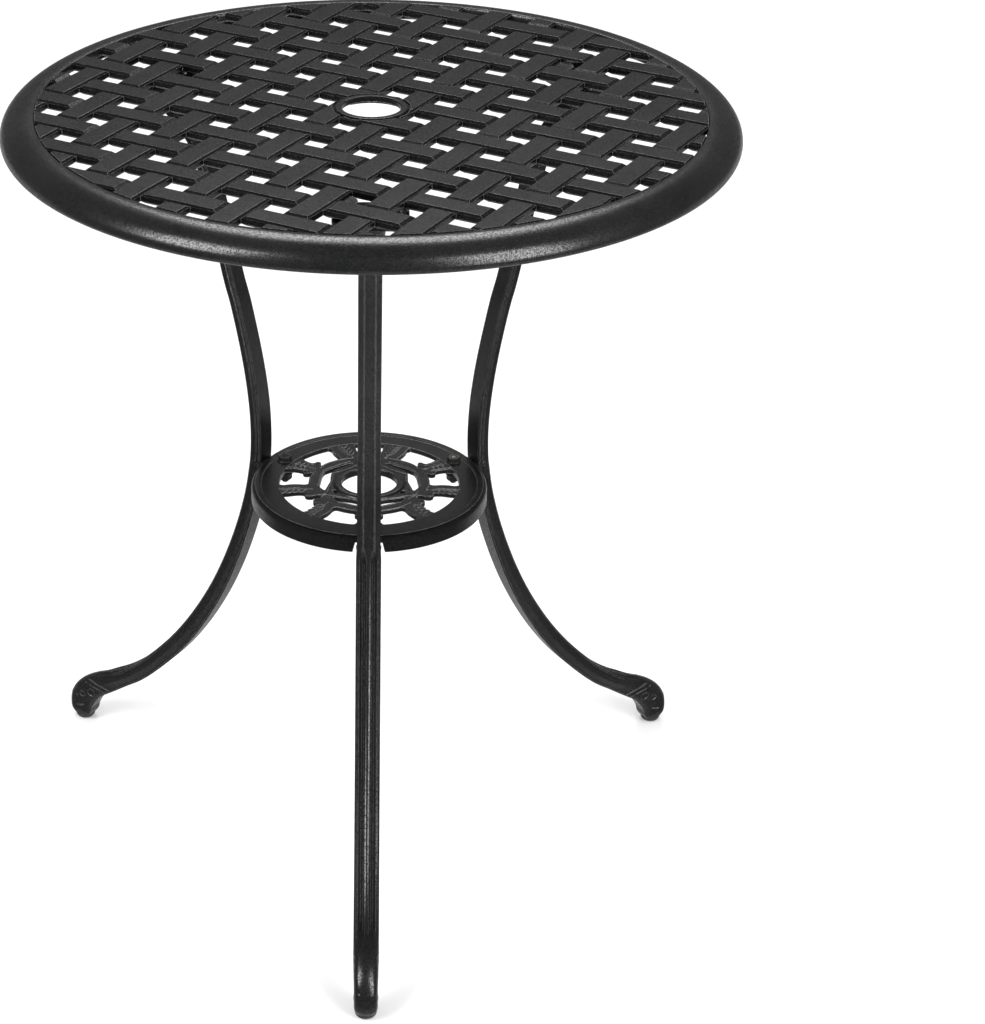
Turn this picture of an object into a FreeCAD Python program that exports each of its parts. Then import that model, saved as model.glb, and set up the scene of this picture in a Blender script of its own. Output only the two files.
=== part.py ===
"""Round side table of cast aluminium with a woven top, an umbrella hole, three S-curved legs and a shelf.

Millimetres, +Z up. The origin is on the floor, on the axis of the umbrella pole.
"""
import FreeCAD
import Part
import Sketcher
import math
import os

from FreeCAD import Placement, Rotation, Vector

# Driving dimensions: alias, value, meaning.
SIZES = (
    ("table_height", 711.2, "floor to the flat tops of the strands"),
    ("top_radius", 317.5, "outer radius of the rim"),
    ("lattice_radius", 287.5, "radius at which the strands end in the rim"),
    ("rim_round", 10.6, "radius of the rim's round"),
    ("rim_drop", 16.0, "depth of the round's centre below the strands"),
    ("rim_wall", 5.0, "wall of the hollow rim"),
    ("rim_groove", 1.4, "width of the groove between strands and rim"),
    ("weave_pitch", 46.9, "distance between parallel strands"),
    ("weave_turn", -29.3, "angle of the weave to the front, degrees"),
    ("strand_width", 22.6, "width of a strand at its base"),
    ("strand_depth", 9.0, "thickness of the woven casting"),
    ("crown_depth", 2.4, "depth of the bevelled crown of a strand"),
    ("crown_bevel", 1.1, "width of the bevel along a strand"),
    ("tuck_length", 4.4, "flat end of a strand to the flat edge of the strand it dips under"),
    ("tuck_slope", 7.0, "run of the sloping end facet over the crown's depth"),
    ("pole_diameter", 50.8, "umbrella hole in the top and in the shelf"),
    ("collar_width", 7.4, "width of the collar round the umbrella hole"),
    ("collar_depth", 6.0, "depth of the collar below the strands"),
    ("collar_rise", 0.5, "collar above the strands"),
    ("collar_bevel", 0.9, "bevel of the collar's edges"),
    ("boss_radius", 10.0, "fastening boss under the lattice"),
    ("boss_drop", 2.0, "boss face below the lattice"),
    ("boss_length", 7.0, "height of a fastening boss"),
    ("pad_radius", 208.0, "distance of the leg pad's bolts from the axis"),
    ("pad_spread", 20.0, "distance of a pad bolt from the leg's middle plane"),
    ("pad_width", 62.0, "leg pad across the leg"),
    ("pad_inner", 192.0, "inner end of the leg pad"),
    ("pad_outer", 241.0, "outer end of the leg pad"),
    ("pad_thickness", 6.0, "leg pad"),
    ("pad_corner", 10.0, "corner radius of the leg pad"),
    ("leg_width", 22.4, "leg below the shelf, across"),
    ("leg_upper_width", 20.0, "leg above the shelf, across"),
    ("leg_depth", 12.0, "leg above the shelf, front to back"),
    ("leg_bevel", 1.6, "bevel of the leg's outer corners"),
    ("neck_reach", 235.0, "outer face of the leg where it meets its pad"),
    ("neck_width", 22.0, "leg under its pad, along the pad"),
    ("waist_radius", 122.6, "outer face of the leg at its narrowest"),
    ("waist_height", 375.0, "height of that narrowest place"),
    ("ankle_radius", 246.3, "outer face of the leg at the ankle"),
    ("ankle_height", 100.0, "height of the ankle"),
    ("foot_reach", 344.5, "tip of the toe"),
    ("bead_spread", 5.0, "bead from the leg's middle plane"),
    ("bead_width", 1.6, "bead on the upper leg"),
    ("bead_rise", 0.9, "bead above the outer face"),
    ("flute_spread", 4.5, "flute from the leg's middle plane"),
    ("flute_width", 2.8, "flute of the lower leg"),
    ("flute_depth", 2.2, "flute of the lower leg"),
    ("side_groove_inset", 7.4, "side groove behind the outer face"),
    ("side_groove_width", 2.4, "side groove"),
    ("side_groove_depth", 0.9, "side groove"),
    ("lug_thickness", 8.0, "lug under the shelf"),
    ("lug_width", 16.0, "lug across"),
    ("shelf_height", 350.0, "floor to the shelf's flat band"),
    ("shelf_radius", 107.5, "outer radius of the shelf"),
    ("band_inner", 82.0, "inner radius of the shelf's band"),
    ("shelf_thickness", 5.0, "band and ornament of the shelf"),
    ("lip_width", 8.7, "raised lip of the shelf"),
    ("lip_rise", 0.8, "raised lip above the band"),
    ("lip_slope", 3.0, "run of the lip's outer slope"),
    ("skirt_height", 15.0, "skirt below the band's face"),
    ("skirt_wall", 4.0, "skirt"),
    ("notch_top", 24.0, "notch of the skirt at its top, across"),
    ("notch_bottom", 29.0, "notch of the skirt at its bottom, across"),
    ("ring_width", 8.1, "pole ring of the shelf"),
    ("ring_rise", 1.6, "pole ring above the band"),
    ("hub_radius", 55.5, "outer strap of the ornament"),
    ("slit_apex", 47.5, "outer apex of a slit"),
    ("slit_width", 7.2, "slit at its apex"),
    ("eye_radius", 35.2, "small eye in each corner of the strap"),
    ("leaf_turn", 20.0, "leaf from the corner's direction, degrees"),
    ("leaf_width", 17.4, "leaf at its widest"),
    ("leaf_root", 9.0, "leaf at its root"),
    ("leaf_tip", 14.4, "leaf where it meets the band"),
    ("leaf_gap", 3.2, "radius of the drop between two leaves"),
    ("curl_radius", 4.6, "curl between two leaves"),
    ("curl_spread", 7.8, "curl from the corner's direction"),
    ("curl_distance", 58.0, "curl from the pole axis"),
    ("shelf_bolt_radius", 90.0, "shelf bolt from the pole axis"),
    ("shelf_bolt_diameter", 6.35, "shelf bolt"),
    ("shelf_bolt_flats", 11.1, "hexagon of the shelf bolt and its nut"),
    ("shelf_bolt_head", 4.2, "height of the shelf bolt's head"),
    ("shelf_nut_height", 5.6, "height of the shelf nut"),
    ("shelf_bolt_excess", 3.0, "shelf bolt below its nut"),
    ("top_bolt_diameter", 6.0, "bolt of a leg pad"),
    ("top_bolt_flats", 10.0, "hexagon of a leg pad's bolt"),
    ("top_bolt_head", 4.0, "height of a leg pad bolt's head"),
    ("top_bolt_grip", 5.5, "bolt's length in its boss"),
    ("washer_thickness", 1.6, "washer under a shelf bolt's head"),
    ("washer_margin", 1.1, "washer beyond the hexagon's corners"),
    ("hole_clearance", 0.3, "radial clearance of a bolt in a plain hole"),
    ("thread_clearance", 0.05, "radial clearance of a stud or bolt in its thread"),
    ("glide_radius", 10.0, "nylon glide under the foot"),
    ("glide_height", 5.0, "nylon glide"),
    ("glide_bevel", 1.2, "bevel of the glide's lower edge"),
    ("glide_seat", 2.0, "floor to the foot of the glide's stud"),
    ("glide_gap", 0.3, "glide to the sole of the foot"),
    ("stud_diameter", 8.0, "stud of the glide"),
    ("stud_length", 22.0, "stud of the glide"),
    ("glide_reach", 330.5, "glide's axis from the pole axis"),
)

LEG_DIRECTIONS = (("front", -90.0), ("right", 30.0), ("left", 150.0))
CORNER_DIRECTIONS = (90.0, 210.0, 330.0)

# Outer face of the leg between neck and waist: share of the reach, share of the height, depth of the leg
# there as a share of its upper depth.
UPPER_CURVE = (
    (0.760, 0.924, 1.10),
    (0.573, 0.855, 1.0),
    (0.475, 0.783, 1.0),
    (0.391, 0.674, 1.0),
    (0.249, 0.470, 1.0),
    (0.079, 0.235, 1.0),
)
# Outer face between waist and ankle: share of the reach, share of the height still to go, depth.
SHIN_CURVE = (
    (0.076, 0.727, 1.10),
    (0.209, 0.545, 1.18),
    (0.397, 0.364, 1.24),
    (0.652, 0.182, 1.36),
)
WAIST_DEPTH = 1.02
ANKLE_DEPTH = 1.56
# Top of the foot and its underside: distance inward from the toe's tip, height.
INSTEP = ((84.5, 89.2), (64.5, 77.7), (44.5, 68.8), (24.5, 57.8), (14.5, 48.9), (4.5, 34.3))
UNDERFOOT = ((25.5, 13.0), (35.5, 27.5), (55.7, 45.4), (73.7, 58.3), (94.7, 72.9))
TOE = ((0.0, 17.0), (2.2, 9.8))
SOLE_FRONT = 7.0
SOLE_BACK = 22.0
# Outlines in the plan of the shelf: distance from the pole axis, half a width.
BUD_OUTLINE = ((50.0, 7.5), (58.0, 7.5), (62.0, 11.0), (65.0, 9.0), (74.5, 10.8), (86.0, 12.0))
# One arm of a slit: distance inward from the slit's outer apex, distance from the leg's plane.
SLIT_ARM = ((14.8, 13.3), (19.7, 33.5), (10.7, 28.6))
LEAF_WAIST = 69.0
LEAF_FOOT = 50.0
# The strands end this far inside the collar's outer edge, and a groove this wide runs round it.
COLLAR_BITE = 1.5
COLLAR_GROOVE = 0.9
# Rim: directions, seen from the round's centre, where its outside starts and ends and where its inside
# has its corners. The strands reach this far into it, and its top starts this far below the strands.
RIM_OUTSIDE = (-60.0, 70.0)
RIM_INSIDE = (100.0, 40.0, -10.0, -60.0)
RIM_LAP = 1.0
RIM_STEP = 0.5
# Beads, flutes and side grooves of the leg start and end this far below the pad's underside or the shelf's
# face; the flutes end at a height on the foot. Each follows the leg through this many points.
BEAD_ENDS = (8.0, -8.0)
FLUTE_START = 12.0
FLUTE_END = 71.0
HIGH_GROOVE_ENDS = (30.0, -12.0)
LOW_GROOVE_START = 14.0
LOW_GROOVE_END = 92.0
STRIP_POINTS = 12
# How far a cutting tool runs past the face that it opens.
OVER = 1.0
# Half the eye's length and half its width.
EYE_SIZE = (4.4, 2.2)
# How far the arcs of a curved outline may lie from its smooth curve.
ARC_TOLERANCE = 0.5
# Depth of a threaded hole beyond its stud or bolt.
STUD_SPARE = 1.5
BORE_SPARE = 0.5

doc = FreeCAD.newDocument("UmbrellaTable")
sheet = doc.addObject("Spreadsheet::Sheet", "Sizes")
for row, (alias, value, meaning) in enumerate(SIZES, 1):
    sheet.set("A%d" % row, meaning)
    sheet.set("B%d" % row, str(value))
    sheet.setAlias("B%d" % row, alias)
doc.recompute()


class Dim:
    """A length that knows the sheet expression it comes from."""

    def __init__(self, value, text):
        self.value = value
        self.text = text

    def __add__(self, other):
        other = dim(other)
        return Dim(self.value + other.value, "(%s + %s)" % (self.text, other.text))

    def __sub__(self, other):
        other = dim(other)
        return Dim(self.value - other.value, "(%s - %s)" % (self.text, other.text))

    def __mul__(self, factor):
        return Dim(self.value * factor, "(%s * %r)" % (self.text, factor))

    def __neg__(self):
        return Dim(-self.value, "(-%s)" % self.text)

    def __float__(self):
        return self.value


def dim(item):
    """A Dim from an alias of the sheet, a number or another Dim."""
    if isinstance(item, Dim):
        return item
    if isinstance(item, str):
        return Dim(float(sheet.get(item)), "Sizes.%s" % item)
    return Dim(float(item), repr(float(item)))


def val(alias):
    """The plain value of one cell of the sheet."""
    return float(sheet.get(alias))


def bind(thing, **sizes):
    """Give an object's properties their values and tie them to the sheet."""
    for name, item in sizes.items():
        size = dim(item)
        setattr(thing, name, size.value)
        thing.setExpression(name, size.text)


def lift(thing, height, x=0.0, y=0.0, turn=0.0):
    """Place an object at a height given by the sheet, turned about the vertical."""
    size = dim(height)
    rotation = Rotation(Vector(0, 0, 1), turn)
    thing.Placement = Placement(Vector(float(dim(x)), float(dim(y)), size.value), rotation)
    thing.setExpression("Placement.Base.z", size.text)


def cylinder(name, radius, height, base, x=0.0, y=0.0):
    thing = doc.addObject("Part::Cylinder", name)
    bind(thing, Radius=radius, Height=height)
    lift(thing, base, x, y)
    return thing


def feature(name, shape):
    thing = doc.addObject("Part::Feature", name)
    thing.Shape = shape
    return thing


def fused(name, things):
    thing = doc.addObject("Part::MultiFuse", name)
    thing.Shapes = things
    return thing


def cut(name, base, tool):
    thing = doc.addObject("Part::Cut", name)
    thing.Base = base
    thing.Tool = tool
    return thing


def extrusion(name, base, direction, forward, backward=0.0):
    thing = doc.addObject("Part::Extrusion", name)
    thing.Base = base
    thing.DirMode = "Custom"
    thing.Dir = direction
    thing.Solid = True
    bind(thing, LengthFwd=forward, LengthRev=backward)
    return thing


def face_of(edges):
    return Part.Face(Part.Wire(Part.__sortEdges__(edges)))


def polygon(points):
    """A flat face with straight edges."""
    return Part.Face(Part.makePolygon(list(points) + [points[0]]))


def through(points):
    """A smooth curve through points."""
    curve = Part.BSplineCurve()
    curve.interpolate(points)
    return curve


def arcs(curve):
    """The smooth curve as a chain of tangent arcs."""
    return [piece.toShape() for piece in curve.toBiArcs(ARC_TOLERANCE)]


def turned(point, degrees):
    return Rotation(Vector(0, 0, 1), degrees).multVec(point)


def arc_between(here, there, radius):
    """The shorter arc between two points; a positive radius has its centre to the left of the way."""
    chord = there - here
    left = Vector(-chord.y, chord.x, 0)
    left.normalize()
    rise = math.sqrt(radius * radius - chord.Length * chord.Length / 4.0)
    centre = (here + there) * 0.5 + left * math.copysign(rise, radius)
    first, last = (here, there) if radius > 0 else (there, here)
    start = math.atan2(first.y - centre.y, first.x - centre.x)
    end = math.atan2(last.y - centre.y, last.x - centre.x)
    if end < start:
        end += 2.0 * math.pi
    return Part.ArcOfCircle(Part.Circle(centre, Vector(0, 0, 1), abs(radius)), start, end)


def outline_sketch(body, name, role, outline):
    """A closed, fully pinned outline of lines and arcs on one of the body's own planes.

    Each row is a corner and the radius of the arc to the next corner, or None for a straight line.
    """
    sketch = body.newObject("Sketcher::SketchObject", name)
    plane = [item for item in body.Origin.OriginFeatures if item.Role == role][0]
    sketch.AttachmentSupport = [(plane, "")]
    sketch.MapMode = "FlatFace"
    corners = [(dim(x), dim(y)) for x, y, radius in outline]
    points = [Vector(x.value, y.value, 0) for x, y in corners]
    radii = [None if radius is None else dim(radius) for x, y, radius in outline]
    count = len(outline)
    for index, radius in enumerate(radii):
        here, there = points[index], points[(index + 1) % count]
        piece = Part.LineSegment(here, there) if radius is None else arc_between(here, there, radius.value)
        sketch.addGeometry(piece, False)
    # An arc that turns clockwise is stored the other way round, so its first end is number 2.
    first = [2 if radius is not None and radius.value < 0 else 1 for radius in radii]
    for index in range(count):
        before = (index - 1) % count
        sketch.addConstraint(Sketcher.Constraint("Coincident", before, 3 - first[before], index, first[index]))
        for kind, place in zip(("DistanceX", "DistanceY"), corners[index]):
            number = sketch.addConstraint(Sketcher.Constraint(kind, -1, 1, index, first[index], place.value))
            sketch.setExpression("Constraints[%d]" % number, place.text)
        if radii[index] is not None:
            radius = radii[index] if radii[index].value > 0 else -radii[index]
            number = sketch.addConstraint(Sketcher.Constraint("Radius", index, radius.value))
            sketch.setExpression("Constraints[%d]" % number, radius.text)
    return sketch


def revolved(name, outline):
    """A body turned about the vertical axis from an outline of radius and height."""
    body = doc.addObject("PartDesign::Body", name)
    sketch = outline_sketch(body, name + "_outline", "XZ_Plane", outline)
    turn = body.newObject("PartDesign::Revolution", name + "_turned")
    turn.Profile = sketch
    turn.ReferenceAxis = (sketch, ["V_Axis"])
    turn.Angle = 360.0
    body.Tip = turn
    return body


def rim():
    """The bullnose rim: a thin shell that curls under, with a groove where the strands meet it."""
    height = dim("table_height")
    centre = dim("top_radius") - dim("rim_round")
    middle = height - dim("rim_drop")
    outer = dim("rim_round")
    inner = dim("rim_round") - dim("rim_wall")

    def on_round(radius, degrees, arc=None):
        turn = math.radians(degrees)
        return centre + radius * math.cos(turn), middle + radius * math.sin(turn), arc

    lap = dim("lattice_radius") - RIM_LAP
    edge = dim("lattice_radius") + dim("rim_groove")
    outline = [(lap, height - dim("strand_depth"), None)]
    outline += [on_round(inner, degrees) for degrees in RIM_INSIDE]
    outline += [
        on_round(outer, RIM_OUTSIDE[0], outer),
        on_round(outer, RIM_OUTSIDE[1]),
        (edge, height - RIM_STEP, None),
        (lap, height - RIM_STEP - dim("rim_groove"), None),
    ]
    return revolved("rim", outline)


def collar():
    """The ring round the umbrella hole, its edges bevelled."""
    inner = dim("pole_diameter") * 0.5
    outer = inner + dim("collar_width")
    top = dim("table_height") + dim("collar_rise")
    bottom = dim("table_height") - dim("collar_depth")
    edge = dim("collar_bevel")
    outline = (
        (inner, bottom, None),
        (outer, bottom, None),
        (outer, top - edge, None),
        (outer - edge, top, None),
        (inner + edge, top, None),
        (inner, top - edge, None),
    )
    return revolved("collar", outline)


def lattice():
    """The plain weave: a pierced slab that carries a bevelled crown for each strand that passes over."""
    height = val("table_height")
    pitch = val("weave_pitch")
    width = val("strand_width")
    crown_depth = val("crown_depth")
    opening = pitch - width
    top_width = width - 2.0 * val("crown_bevel")
    flat = 2.0 * (pitch - top_width / 2.0 - val("tuck_length"))
    root = flat + 2.0 * val("tuck_slope")

    crown = doc.addObject("Part::Wedge", "strand_crown")
    bind(crown, Xmin=dim(-root / 2.0), Xmax=dim(root / 2.0))
    bind(crown, Zmin=dim("strand_width") * -0.5, Zmax=dim("strand_width") * 0.5)
    bind(crown, Ymin=0.0, Ymax="crown_depth")
    bind(crown, X2min=dim(-flat / 2.0), X2max=dim(flat / 2.0))
    bind(crown, Z2min=dim("crown_bevel") - dim("strand_width") * 0.5)
    bind(crown, Z2max=dim("strand_width") * 0.5 - dim("crown_bevel"))
    doc.recompute()
    upright = Rotation(Vector(1, 0, 0), 90.0)
    reach = int(val("lattice_radius") / pitch) + 2
    steps = range(-reach, reach)
    crowns, windows = [], []
    for i in steps:
        for j in steps:
            centre = Vector((i + 0.5) * pitch, (j + 0.5) * pitch, height - crown_depth)
            distance = math.hypot(centre.x, centre.y)
            if distance < val("lattice_radius") + root / 2.0:
                along = 90.0 if (i + j) % 2 == 0 else 0.0
                piece = crown.Shape.copy()
                piece.Placement = Placement(centre, Rotation(Vector(0, 0, 1), along).multiply(upright))
                crowns.append(piece)
            corner = Vector(i * pitch - opening / 2.0, j * pitch - opening / 2.0, height - val("strand_depth"))
            if math.hypot(i * pitch, j * pitch) < val("lattice_radius") + opening:
                windows.append(Part.makeBox(opening, opening, val("strand_depth"), corner))
    bottom = Vector(0, 0, height - val("strand_depth"))
    radius = val("lattice_radius")
    slab = Part.makeCylinder(radius, val("strand_depth") - crown_depth, bottom)
    slab = slab.cut(windows)
    woven = slab.fuse(crowns)
    disc = Part.makeCylinder(radius, val("strand_depth"), bottom)
    woven = woven.common(disc).removeSplitter()
    thing = feature("lattice", woven)
    thing.Placement = Placement(Vector(0, 0, 0), Rotation(Vector(0, 0, 1), val("weave_turn")))
    return thing


def top_casting():
    """The woven top in one piece: rim, lattice, collar and the bosses for the legs' bolts."""
    strands = lattice()
    ring = collar()
    height = dim("table_height")
    low = height - dim("strand_depth")
    collar_radius = dim("pole_diameter") * 0.5 + dim("collar_width")
    well = cylinder("collar_well", collar_radius - COLLAR_BITE, "strand_depth", low)
    groove = cylinder("collar_groove", collar_radius + COLLAR_GROOVE, COLLAR_GROOVE * 2.0,
                      height - COLLAR_GROOVE)
    opened = cut("lattice_opened", strands, fused("collar_space", [well, groove]))
    bosses, holes = [], []
    face = low - dim("boss_drop")
    for side, direction in LEG_DIRECTIONS:
        for number, spread in enumerate((-val("pad_spread"), val("pad_spread")), 1):
            place = turned(Vector(val("pad_radius"), spread, 0), direction)
            name = "%s_%d" % (side, number)
            bosses.append(cylinder("boss_" + name, "boss_radius", "boss_length", face, place.x, place.y))
            bore = dim("top_bolt_diameter") * 0.5 + dim("thread_clearance")
            depth = dim("top_bolt_grip") + BORE_SPARE
            holes.append(cylinder("tapped_" + name, bore, depth, face, place.x, place.y))
    whole = fused("top_blank", [rim(), opened, ring] + bosses)
    bores = fused("top_holes", holes)
    top = cut("table_top", whole, bores)
    return top


def leg_outer():
    """The outer face of a leg in its own plane, from the pad down round the toe to the sole.

    Returns the curve and the points that it passes, each with the depth of the leg there.
    """
    pad_low = val("table_height") - val("strand_depth") - val("boss_drop") - val("pad_thickness")
    waist = Vector(val("waist_radius"), 0, val("waist_height"))
    ankle = Vector(val("ankle_radius"), 0, val("ankle_height"))
    neck = Vector(val("neck_reach"), 0, pad_low)
    depth = val("leg_depth")
    stations = []
    for reach, rise, share in UPPER_CURVE:
        point = Vector(waist.x + reach * (neck.x - waist.x), 0, waist.z + rise * (neck.z - waist.z))
        stations.append((point, share))
    stations.append((waist, WAIST_DEPTH))
    for reach, rise, share in SHIN_CURVE:
        point = Vector(waist.x + reach * (ankle.x - waist.x), 0, ankle.z + rise * (waist.z - ankle.z))
        stations.append((point, share))
    stations.append((ankle, ANKLE_DEPTH))
    sole = (SOLE_FRONT, val("glide_height") + val("glide_gap"))
    foot = [Vector(val("foot_reach") - inset, 0, height) for inset, height in INSTEP + TOE + (sole,)]
    sink = val("pad_thickness") / 2.0
    head = [neck + Vector(sink, 0, sink), neck]
    curve = through(head + [point for point, share in stations] + foot)
    return curve, [(point, share * depth) for point, share in stations]


def inward(curve, point, distance):
    """The point at a distance behind the outer face, square to it."""
    tangent = curve.tangent(curve.parameter(point))[0]
    return point + Vector(tangent.z, 0, -tangent.x) * distance


def at_height(curve, height):
    """The parameter at which the outer face, which falls all the way, passes a height."""
    low, high = curve.FirstParameter, curve.LastParameter
    for step in range(40):
        middle = (low + high) / 2.0
        if curve.value(middle).z > height:
            low = middle
        else:
            high = middle
    return low


def band(curve, top, bottom, front, back):
    """A strip of the leg's side view between two heights and two depths behind the outer face."""
    first, last = at_height(curve, top), at_height(curve, bottom)
    step = (last - first) / (STRIP_POINTS - 1)
    stations = [curve.value(first + step * index) for index in range(STRIP_POINTS)]
    near = [inward(curve, point, front) for point in stations]
    far = [inward(curve, point, back) for point in stations]
    edges = arcs(through(near)) + arcs(through(far))
    edges += [Part.makeLine(near[0], far[0]), Part.makeLine(near[-1], far[-1])]
    return face_of(edges)


def leg_outline(curve, stations):
    """The side view of a whole leg."""
    sole = val("glide_height") + val("glide_gap")
    reach = val("foot_reach")
    front = Vector(reach - SOLE_FRONT, 0, sole)
    back = Vector(reach - SOLE_BACK, 0, sole)
    under = [Vector(reach - distance, 0, height) for distance, height in UNDERFOOT]
    rear = [inward(curve, point, depth) for point, depth in reversed(stations)]
    top = curve.value(curve.FirstParameter)
    inner = [back] + under + rear + [top - Vector(val("neck_width"), 0, 0)]
    edges = arcs(curve) + arcs(through(inner))
    edges += [Part.makeLine(front, back), Part.makeLine(inner[-1], top)]
    return face_of(edges)


def rail(chain, depth, across):
    """A chain of arcs, moved behind the outer face by a depth and out to one side."""
    edges = []
    for piece in chain:
        first, last = piece.FirstParameter, piece.LastParameter
        points = []
        for share in (0.0, 0.5, 1.0):
            parameter = first + (last - first) * share
            tangent = piece.tangentAt(parameter)
            points.append(piece.valueAt(parameter) + Vector(tangent.z * depth, across, -tangent.x * depth))
        edges.append(Part.Arc(*points).toShape())
    return Part.Wire(edges)


def bevel_tool(chain, half, side):
    """What the bevel takes off one long edge of the outer face: a three-sided bar along the curve."""
    bevel = val("leg_bevel")
    corners = ((bevel + OVER, half + OVER), (-OVER, half - bevel - OVER), (-OVER, half + OVER))
    rails = [rail(chain, depth, side * across) for depth, across in corners]
    faces = []
    for index in range(3):
        faces += Part.makeRuledSurface(rails[index], rails[(index + 1) % 3]).Faces
    for end in (0, -1):
        faces.append(polygon([wire.OrderedVertexes[end].Point for wire in rails]))
    tool = Part.makeSolid(Part.makeShell(faces))
    if tool.Volume < 0:
        tool.reverse()
    return tool


def bevelled(name, blank, curve, half_width):
    """The blank with the two long edges of its outer face bevelled."""
    chain = arcs(curve)
    tools = [feature("%s_tool_%s" % (name, side), bevel_tool(chain, half_width, turn))
             for side, turn in (("a", 1.0), ("b", -1.0))]
    return cut(name, blank, fused(name + "_tools", tools))


def strip(name, face, start, width):
    """A strip of the side view, as thick as width, from start across the leg."""
    sketch = feature(name + "_face", face)
    thing = extrusion(name, sketch, Vector(0, 1, 0), width)
    size = dim(start)
    thing.Placement = Placement(Vector(0, size.value, 0), Rotation())
    thing.setExpression("Placement.Base.y", size.text)
    return thing


def both_sides(name, face, start, width):
    """Two strips that mirror each other in the leg's middle plane."""
    return [strip(name + "_a", face, start, width), strip(name + "_b", face, -(dim(start) + dim(width)), width)]


def leg_pad():
    """The flat pad under the top, its corners rounded."""
    low = dim("table_height") - dim("strand_depth") - dim("boss_drop") - dim("pad_thickness")
    body = doc.addObject("PartDesign::Body", "leg_pad")
    corner = dim("pad_corner")
    half = dim("pad_width") * 0.5
    inner, outer = dim("pad_inner"), dim("pad_outer")
    outline = (
        (inner + corner, -half, None),
        (outer - corner, -half, corner),
        (outer, corner - half, None),
        (outer, half - corner, corner),
        (outer - corner, half, None),
        (inner + corner, half, corner),
        (inner, half - corner, None),
        (inner, corner - half, corner),
    )
    sketch = outline_sketch(body, "leg_pad_plan", "XY_Plane", outline)
    pad = body.newObject("PartDesign::Pad", "leg_pad_plate")
    pad.Profile = sketch
    bind(pad, Length="pad_thickness")
    body.Tip = pad
    lift(body, low)
    return body


def leg():
    """One leg, standing in the direction of +X."""
    curve, stations = leg_outer()
    outline = feature("leg_side_view", leg_outline(curve, stations))
    split = val("shelf_height")
    halves = []
    for part, width in (("upper", "leg_upper_width"), ("lower", "leg_width")):
        half = dim(width) * 0.5
        blank = extrusion("leg_%s_blank" % part, outline, Vector(0, 1, 0), half, half)
        halves.append(bevelled("leg_%s_bevelled" % part, blank, curve, half.value))
    reach = dim("foot_reach") * 2.0
    below = doc.addObject("Part::Box", "below_shelf")
    bind(below, Length=reach, Width=reach, Height="shelf_height")
    lift(below, 0.0, -reach.value / 2.0, -reach.value / 2.0)
    upper = cut("leg_upper", halves[0], below)
    lower = doc.addObject("Part::Common", "leg_lower")
    lower.Base = halves[1]
    lower.Tool = below

    pad_low = val("table_height") - val("strand_depth") - val("boss_drop") - val("pad_thickness")
    bead = band(curve, pad_low - BEAD_ENDS[0], split - BEAD_ENDS[1], -val("bead_rise"), OVER)
    beads = both_sides("bead", bead, dim("bead_spread") - dim("bead_width") * 0.5, "bead_width")
    flute = band(curve, split - FLUTE_START, FLUTE_END, -OVER, val("flute_depth"))
    flutes = both_sides("flute", flute, dim("flute_spread") - dim("flute_width") * 0.5, "flute_width")
    inset, back = val("side_groove_inset"), val("side_groove_inset") + val("side_groove_width")
    high_groove = band(curve, pad_low - HIGH_GROOVE_ENDS[0], split - HIGH_GROOVE_ENDS[1], inset, back)
    low_groove = band(curve, split - LOW_GROOVE_START, LOW_GROOVE_END, inset, back)
    depth = dim("side_groove_depth")
    grooves = both_sides("high_groove", high_groove, dim("leg_upper_width") * 0.5 - depth, depth + OVER)
    grooves += both_sides("low_groove", low_groove, dim("leg_width") * 0.5 - depth, depth + OVER)

    lug_top = dim("shelf_height") - dim("shelf_thickness")
    lug_low = lug_top - dim("lug_thickness")
    lug_end = cylinder("lug_end", dim("lug_width") * 0.5, "lug_thickness", lug_low, val("shelf_bolt_radius"))
    lug_bar = doc.addObject("Part::Box", "lug_bar")
    length = dim("waist_radius") - dim("leg_depth") * 0.5 - dim("shelf_bolt_radius")
    bind(lug_bar, Length=length, Width="lug_width", Height="lug_thickness")
    lift(lug_bar, lug_low, val("shelf_bolt_radius"), -val("lug_width") / 2.0)

    body = fused("leg_solid", [upper, lower, leg_pad(), lug_end, lug_bar] + beads)
    clearance = dim("hole_clearance")
    holes = [cylinder("lug_hole", dim("shelf_bolt_diameter") * 0.5 + clearance,
                      dim("lug_thickness") + 2.0 * OVER, lug_low - OVER, val("shelf_bolt_radius"))]
    pad_face = dim("table_height") - dim("strand_depth") - dim("boss_drop")
    for number, spread in enumerate((-val("pad_spread"), val("pad_spread")), 1):
        holes.append(cylinder("pad_hole_%d" % number, dim("top_bolt_diameter") * 0.5 + clearance,
                              dim("pad_thickness") + 2.0 * OVER, pad_face - dim("pad_thickness") - OVER,
                              val("pad_radius"), spread))
    sole = dim("glide_height") + dim("glide_gap")
    holes.append(cylinder("stud_hole", dim("stud_diameter") * 0.5 + dim("thread_clearance"),
                          dim("glide_seat") + dim("stud_length") + STUD_SPARE - sole, sole, val("glide_reach")))
    tools = fused("leg_tools", flutes + grooves + holes)
    return cut("leg", body, tools)


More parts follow.
